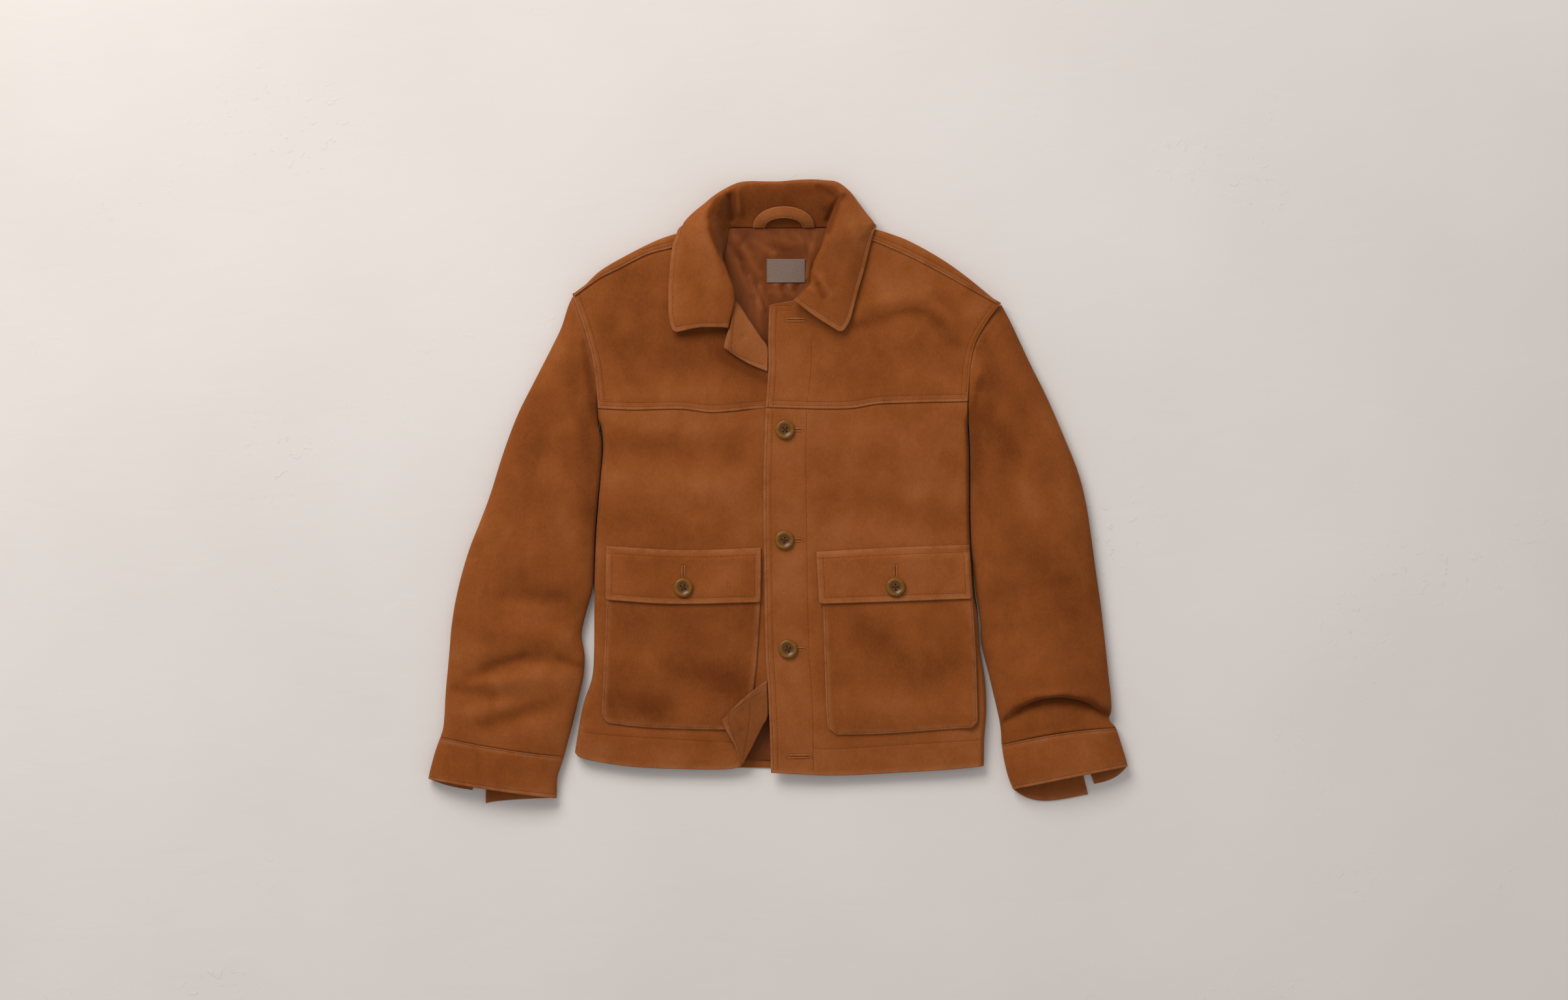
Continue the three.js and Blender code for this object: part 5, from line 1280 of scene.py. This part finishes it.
def cuff(name, node, rows, left, inner_power, tone):
    fine = np.array([0, 0.03, 0.07, 0.12, 0.17, 0.24, 0.35, *np.linspace(0.5, 2.6, 16), 2.68, 2.74, 2.79, 2.85,
                     2.92, 3.0])
    ox, oy, ix, iy, crown, slit_out, slit_in, drop_out, drop_in, bow = (c[:, None] for c in
                                                                       columns_of(rows, fine))
    back_steps, front_steps = 24, 64
    start = -np.arccos(1 - 2 * slit_out)
    end = -np.arccos(1 - 2 * slit_in)
    first = mix(start, 0, np.arange(back_steps)[None] / back_steps)
    front = math.pi * np.arange(front_steps + 1)[None] / front_steps + 0 * start
    second = mix(-math.pi, end, np.arange(1, back_steps + 1)[None] / back_steps)
    away_first = 1 - (1 - np.cos(first)) / 2 / slit_out
    away_second = np.maximum(((1 - np.cos(second)) / 2 - slit_in) / (1 - slit_in), 0)
    drop = np.concatenate([drop_out * (1 - np.clip(away_first, 0, 1) ** 3), 0 * front,
                           drop_in * (1 - away_second ** inner_power)], axis=1)
    angle = np.concatenate([first, front, second], axis=1)
    share = (1 - np.cos(angle)) / 2
    hump = 4 * share * (1 - share)
    length = np.hypot(ix - ox, iy - oy)
    aside = 1 if left else -1
    lean = np.where(np.sin(angle) > 0, bow * hump, -drop)
    x = mix(ox, ix, share) - aside * (iy - oy) / length * lean
    y = mix(oy, iy, share) + aside * (ix - ox) / length * lean
    on_top = np.clip(np.sin(angle), 0, 1)
    z = section_height(angle, crown) + on_top * waviness(x, y, 0.22)
    grid = grid_of(x, y, z)
    facing = outward(grid, flip=left)
    top_row, hem_row = 3, len(fine) - 4
    shown = slice(back_steps + 3, back_steps + front_steps - 2)
    paths = [(grid[top_row, shown], facing[top_row, shown]), (grid[hem_row], facing[hem_row])]
    grid = sew(grid, facing, paths)
    edge = np.minimum(fine, fine[-1] - fine)[:, None] * 17 + 0 * x
    made = shell(name, grid, 2.0, tan_suede, edge, tone, flip=left)
    return keep(made, node, grid)


cuff("cuff_of_suede_left", "cuff_left", CUFF_LEFT, True, 0.8, -0.02)
cuff("cuff_of_suede_right", "cuff_right", CUFF_RIGHT, False, 4.5, 0.03)

# %% [markdown]
# ## Pockets and flaps
#
# A patch pocket is a second layer on the front, puffed by what has been carried in it. Its heights are the
# front's heights moved out, so the two can never cross. The flap lies on the pocket in the same way and is
# pressed along its top, where it turns over its own seam.

# %% Pockets and flaps
POCKETS = {
    "left": dict(
        left=track([(-70, -210.5), (-134, -211), (-281, -217)]),
        right=track([(-70, -20), (-138, -22), (-205, -26), (-243, -30), (-293, -36)]),
        bottom=track([(-218, -282.5), (-212, -284), (-162, -290), (-66, -293), (-30, -293)]),
        flap_left=track([(-67, -211), (-133, -212)]), flap_right=track([(-69, -21), (-136, -21.5)]),
        flap_top=track([(-211, -67), (-115, -72), (-21, -69)]),
        flap_bottom=track([(-212, -133), (-132, -138), (-21, -136)])),
    "right": dict(
        left=track([(-76, 52), (-138, 55), (-205, 57), (-265, 59), (-285, 60.5), (-299, 63)]),
        right=track([(-70, 236), (-134, 239), (-200, 243), (-292, 245.5)]),
        bottom=track([(60, -297.8), (66, -298.4), (76, -299), (126, -298), (210, -292), (246, -290)]),
        flap_left=track([(-74, 47), (-138, 50.5)]), flap_right=track([(-65, 235), (-132, 238)]),
        flap_top=track([(47, -74), (140, -69), (235, -65.5)]),
        flap_bottom=track([(50.5, -138), (144, -135), (238, -131.5)])),
}
POCKET_FOLDS = [
    (-130, -222, -60, -236, 16, -1.8), (-190, -260, -120, -250, 14, 0.9), (-180, -175, -90, -180, 16, 0.7),
    (112, -168, 150, -212, 15, -1.8), (170, -250, 215, -225, 16, -1.0), (90, -255, 140, -262, 14, 0.9),
    (190, -160, 220, -195, 12, 0.9),
]


def pocket_height(side):
    lines = POCKETS[side]
    top = under_front if side == "left" else over_front

    def height(x, y):
        across = (x - lines["left"](y)) / (lines["right"](y) - lines["left"](y))
        up = (y - lines["bottom"](x)) / (-78 - lines["bottom"](x))
        swell = lambda t: np.sqrt(np.maximum(0, 1 - (2 * np.clip(t, 0, 1) - 1) ** 4))
        puff = 2.4 * swell(across) * swell(np.minimum(up, 0.5))
        over_side = 2.8 * ramp(220, 238, x) if side == "right" else 0.0
        dents = folds(POCKET_FOLDS, x, y) * swell(across) * swell(np.minimum(up, 0.5))
        return top(x, y) + 2.35 + over_side + puff * (1 - 0.7 * ramp(-140, -90, y)) + dents

    return height


def flap_height(side):
    top = under_front if side == "left" else over_front
    lines = POCKETS[side]

    def height(x, y):
        on_pocket = 1 - ramp(-82, -72, y)
        ridge = 0.45 * np.exp(-(((lines["flap_top"](x) - y - 3.5) / 3) ** 2))
        kick = 0.5 * (1 - ramp(0, 9, y - lines["flap_bottom"](x)))
        return mix(top(x, y) + 0.4, pocket_height(side)(x, y) + 0.7, on_pocket) + 2.2 + ridge + kick

    return height


POCKET_CORNER = 11.0
STITCH_INSET = 2.4


def pocket_row(lines, height, end_x):
    """The pocket's stitch row: down its left side, round the corner and along the bottom. Where end_x is
    None it goes on round the other corner and up the right side."""
    radius = POCKET_CORNER - STITCH_INSET
    foot = float(lines["bottom"](lines["left"](-280) + POCKET_CORNER)) + POCKET_CORNER
    centre_x = float(lines["left"](foot)) + POCKET_CORNER
    y = np.linspace(-140, foot, 40)
    parts = [np.stack([lines["left"](y) + STITCH_INSET, y], axis=-1)]
    turn = np.linspace(math.pi, 1.5 * math.pi, 9)
    parts.append(np.stack([centre_x + radius * np.cos(turn), foot + radius * np.sin(turn)], axis=-1))
    last_foot = float(lines["bottom"](lines["right"](-280) - POCKET_CORNER)) + POCKET_CORNER
    last_x = float(lines["right"](last_foot)) - POCKET_CORNER if end_x is None else end_x
    x = np.linspace(centre_x + 2, last_x - 2, 60)
    parts.append(np.stack([x, lines["bottom"](x) + STITCH_INSET], axis=-1))
    if end_x is None:
        parts.append(np.stack([last_x + radius * np.cos(turn + math.pi / 2),
                               last_foot + radius * np.sin(turn + math.pi / 2)], axis=-1))
        y = np.linspace(last_foot, -136, 40)
        parts.append(np.stack([lines["right"](y) - STITCH_INSET, y], axis=-1))
    x, y = np.concatenate(parts).T
    path = grid_of(x, y, height(x, y))
    return path, upright(path)


for side, pocket_tone, flap_tone in (("left", -0.1, 0.03), ("right", -0.06, 0.045)):
    lines = POCKETS[side]
    height = pocket_height(side)
    rows = [pocket_row(lines, height, -72 if side == "left" else None)]
    pocket, grid = stitched_panel(
        f"pocket_of_suede_{side}", lines["left"], lines["right"], lines["bottom"], level(-86),
        stations([50]), stations([52], EDGE, FEW), height, 1.9, tan_suede, rows, pocket_tone, "lbr",
        straight=True, rounding=POCKET_CORNER)
    keep(pocket, f"pocket_{side}", grid)

    height = flap_height(side)
    x0, x1 = (-203, -29) if side == "left" else (56, 229)
    rows = [plan_path(lines["flap_top"], x0 - 7, x1 + 7, height, -8.5),
            plan_path(lines["flap_bottom"], x0, x1, height, 7.6),
            plan_path(lines["flap_left"], -129, -77, height, 7.6, along_y=True),
            plan_path(lines["flap_right"], -129, -77, height, -7.6, along_y=True)]
    flap, grid = stitched_panel(
        f"flap_of_suede_{side}", lines["flap_left"], lines["flap_right"], lines["flap_bottom"],
        lines["flap_top"], stations([52]), stations([14]), height, 2.0, tan_suede, rows, flap_tone, "lbrt",
        straight=True, rounding=3.5)
    keep(flap, f"pocket_flap_{side}", grid)

# %% [markdown]
# ## Buttons
#
# The buttons are turned from horn: a thick rolled rim round a shallow dish, with four holes. A turned thing is
# best made as on a lathe, so a disc is pulled up ring by ring through the profile with extrude and resize. The
# holes are then cut with a boolean, and a cross of thread holds the button down.

# %% One button, modelled once
BUTTON_PROFILE = [(9.6, 0.0), (11.2, 0.5), (11.8, 1.6), (11.75, 2.6), (11.3, 3.5), (10.4, 4.2), (9.4, 4.4),
                  (8.4, 4.25), (7.4, 3.8), (6.4, 3.1), (5.6, 2.65), (4.6, 2.42), (2.0, 2.4)]


def turned_button(name):
    bpy.ops.object.select_all(action="DESELECT")
    bpy.ops.mesh.primitive_circle_add(vertices=56, radius=BUTTON_PROFILE[0][0] * MM, fill_type="NGON")
    made = bpy.context.object
    made.name = name
    bpy.ops.object.mode_set(mode="EDIT")
    bpy.ops.mesh.select_mode(type="FACE")
    bpy.ops.mesh.select_all(action="SELECT")
    for (radius, height), (next_radius, next_height) in zip(BUTTON_PROFILE, BUTTON_PROFILE[1:]):
        bpy.ops.mesh.extrude_region_move(TRANSFORM_OT_translate={"value": (0, 0, (next_height - height) * MM)})
        share = next_radius / radius
        bpy.ops.transform.resize(value=(share, share, 1))
    bpy.ops.mesh.select_all(action="SELECT")
    bpy.ops.mesh.normals_make_consistent(inside=False)
    bpy.ops.object.mode_set(mode="OBJECT")
    for dx, dy in ((2.25, 2.25), (-2.25, 2.25), (-2.25, -2.25), (2.25, -2.25)):
        bpy.ops.object.select_all(action="DESELECT")
        bpy.ops.mesh.primitive_cylinder_add(vertices=14, radius=1.05 * MM, depth=9 * MM,
                                            location=(dx * MM, dy * MM, 2 * MM))
        drill = bpy.context.object
        cut = made.modifiers.new("hole", "BOOLEAN")
        cut.object = drill
        cut.operation = "DIFFERENCE"
        cut.solver = "EXACT"
        bpy.context.view_layer.objects.active = made
        bpy.ops.object.modifier_apply(modifier=cut.name)
        bpy.data.objects.remove(drill)
    made.data.materials.append(horn)
    # Marks the dish, which the horn paints darker as painted shade.
    inside = [float(np.hypot(v.co.x, v.co.y) < 6.6 * MM and v.co.z > 2 * MM) for v in made.data.vertices]
    made.data.attributes.new("in_dish", "FLOAT", "POINT").data.foreach_set("value", inside)
    for polygon in made.data.polygons:
        polygon.use_smooth = True
    made.data.set_sharp_from_angle(angle=math.radians(38))
    print(f"{name}: {len(made.data.polygons)} faces")
    return made


pattern_button = turned_button("pattern_button")


# %% [markdown]
# A stitch, a thread bar and a buttonhole lip are all the same simple form: a bead that is longer than wide.
# `beads` makes any number of them as one mesh, each from its middle, its direction and its upward side.

# %% Beads of thread
def bead_form(sides, rings):
    """A bead of length 2, width 2 and height 2 along x, as points and faces."""
    points = [(-1.0, 0.0, 0.0)]
    for k in range(1, rings):
        a = math.pi * k / rings
        for s in range(sides):
            b = 2 * math.pi * s / sides
            points.append((-math.cos(a), math.sin(a) * math.cos(b), math.sin(a) * math.sin(b)))
    points.append((1.0, 0.0, 0.0))
    faces = [(0, 1 + (s + 1) % sides, 1 + s) for s in range(sides)]
    for k in range(rings - 2):
        for s in range(sides):
            a, b = 1 + k * sides + s, 1 + k * sides + (s + 1) % sides
            faces.append((a, b, b + sides, a + sides))
    end = len(points) - 1
    faces += [(end, end - sides + s, end - sides + (s + 1) % sides) for s in range(sides)]
    return np.array(points), faces


def beads(name, centre, ahead, up, sizes, material, sides=6, rings=4):
    """Joined beads. sizes are half length, half width and half height, in millimetres."""
    form, form_faces = bead_form(sides, rings)
    side = unit(np.cross(up, ahead))
    lifted = unit(np.cross(ahead, side))
    half = np.broadcast_to(sizes, (len(centre), 3))
    points = (centre[:, None] + form[None, :, 0:1] * (ahead * half[:, 0:1])[:, None]
              + form[None, :, 1:2] * (side * half[:, 1:2])[:, None]
              + form[None, :, 2:3] * (lifted * half[:, 2:3])[:, None]).reshape(-1, 3)
    faces = [tuple(i + k * len(form) for i in face) for k in range(len(centre)) for face in form_faces]
    made = piece_from(name, points, faces, material)
    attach(made, "root")
    print(f"{name}: {len(centre)} beads")
    return made


# %% [markdown]
# Three buttons hold the front and one holds each pocket flap. Each is a copy of the one modelled above, with
# its own mesh, moved to its place and joined by its own thread.

# %% The five buttons and their thread
BUTTONS = [("button_front_1", 8.4, 76, "front"), ("button_front_2", 7.8, -59.6, "front"),
           ("button_front_3", 12, -193.4, "front"), ("button_flap_left", -116.4, -117.8, "left"),
           ("button_flap_right", 144, -117.2, "right")]
surfaces = {"front": over_front, "left": flap_height("left"), "right": flap_height("right")}
around = np.linspace(0, 2 * math.pi, 24, endpoint=False)
thread_bars = []
for name, bx, by, on in BUTTONS:
    seat = surfaces[on](bx + 11 * np.cos(around), by + 11 * np.sin(around)).max() + 0.1
    seat = max(seat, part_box(name)[0][2] / MM - 0.4)
    button = pattern_button.copy()
    button.data = pattern_button.data.copy()
    button.name = f"horn_{name}"
    turned = math.radians(17 * len(thread_bars))
    for vertex in button.data.vertices:
        px, py, pz = vertex.co
        vertex.co = (px * math.cos(turned) - py * math.sin(turned) + bx * MM,
                     px * math.sin(turned) + py * math.cos(turned) + by * MM, pz + seat * MM)
    bpy.context.scene.collection.objects.link(button)
    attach(button, "root")
    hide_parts(name)
    for quarter in (0.25, 0.75):
        a = turned + quarter * math.pi
        thread_bars.append(((bx, by, seat + 2.75 + 0.25 * (quarter > 0.5)), (math.cos(a), math.sin(a), 0)))
bpy.data.objects.remove(pattern_button)
bars = beads("button_threads", np.array([b[0] for b in thread_bars]), np.array([b[1] for b in thread_bars]),
             np.zeros((len(thread_bars), 3)) + (0, 0, 1), (3.4, 0.5, 0.55), thread, sides=8, rings=8)

# %% [markdown]
# A buttonhole is a slit with stitched lips. Leather is too thin here to cut through with a clean result, so
# the slit and its lips are laid on the front as small raised pieces. The slit is a dark bead of thread:
# painted shade standing in for the shadow in the opening.

# %% Buttonholes
HOLES = [  # middle x and y, half length, along y, surface
    (20.5, 211, 12.5, False, yoke_height("right")), (26, -325.5, 15, False, over_front),
    (22, 76, 8.5, False, over_front), (21.5, -59.6, 8.5, False, over_front),
    (25.5, -193.4, 7.5, False, over_front), (-116.4, -98.5, 8.5, True, surfaces["left"]),
    (144, -98, 8.5, True, surfaces["right"]),
]
lip_rows, slit_rows = [], []
for hx, hy, half, along_y, surface in HOLES:
    ahead = np.array([0.0, 1, 0]) if along_y else np.array([1.0, 0, 0])
    side = np.array([-1.0, 0, 0]) if along_y else np.array([0.0, 1, 0])
    z = float(surface(np.array([hx]), np.array([hy]))[0])
    middle = np.array([hx, hy, z])
    slit_rows.append((middle - (0, 0, 0.05), ahead, half - 0.6))
    for way in (-1, 1):
        lip_rows.append((middle + side * 1.5 * way + (0, 0, -0.25), ahead, half))
        ends = np.array([middle + side * 3.3 * way - ahead * half, middle + side * 3.3 * way + ahead * half])
        for k in range(int(2 * half // 2.6)):
            at = ends[0] + ahead * (1.3 + 2.6 * k)
            at[2] = surface(at[None, 0], at[None, 1])[0] - 0.05
            stitch_places.append((at[None], ahead[None], np.array([[0.0, 0, 1]])))
    for way in (-1, 1):
        for k in (-1, 0, 1):
            at = middle + ahead * (half + 0.6) * way + side * 2.0 * k - (0, 0, 0.05)
            stitch_places.append((at[None], side[None], np.array([[0.0, 0, 1]])))
up = np.array([[0.0, 0, 1]])
lips = beads("buttonhole_lips", np.array([r[0] for r in lip_rows]), np.array([r[1] for r in lip_rows]),
             np.repeat(up, len(lip_rows), 0), np.array([(r[2], 1.3, 0.9) for r in lip_rows]), tan_suede, 10, 10)
# Each slit is a dark bead in the thread's colour: painted shade for the shadow in the opening.
slit_shade_beads = beads("buttonhole_slit_shades", np.array([r[0] for r in slit_rows]), np.array([r[1] for r in slit_rows]),
              np.repeat(up, len(slit_rows), 0), np.array([(r[2], 0.55, 0.7) for r in slit_rows]), thread, 8, 6)

# %% [markdown]
# Every stitch noted on the way is placed now. One bead of thread with few faces is copied to each place, and
# the copies form a single mesh, which keeps thousands of stitches light.

# %% All stitches as one mesh
centre = np.concatenate([p[0] for p in stitch_places])
ahead = np.concatenate([p[1] for p in stitch_places])
up = np.concatenate([p[2] for p in stitch_places])
stitching = beads("suede_stitching", centre, ahead, up, STITCH, thread, rings=3)

# %% [markdown]
# ## The cloth pieces laid flat
# The size that every piece of leather or lining has when pressed flat is printed, so that anyone who
# reuses the jacket knows how much leather shows. Nothing here is a cord or a pad.

for node, (flat, area) in cuts.items():
    print(f"{node}: {flat[0]:.3f} x {flat[1]:.3f} m, {area:.4f} square metres")

# %% [markdown]
# ## Last update
#
# The dressed jacket has to keep the size of its solids. The view layer is updated once more.

# %% Finish
bpy.context.view_layer.update()
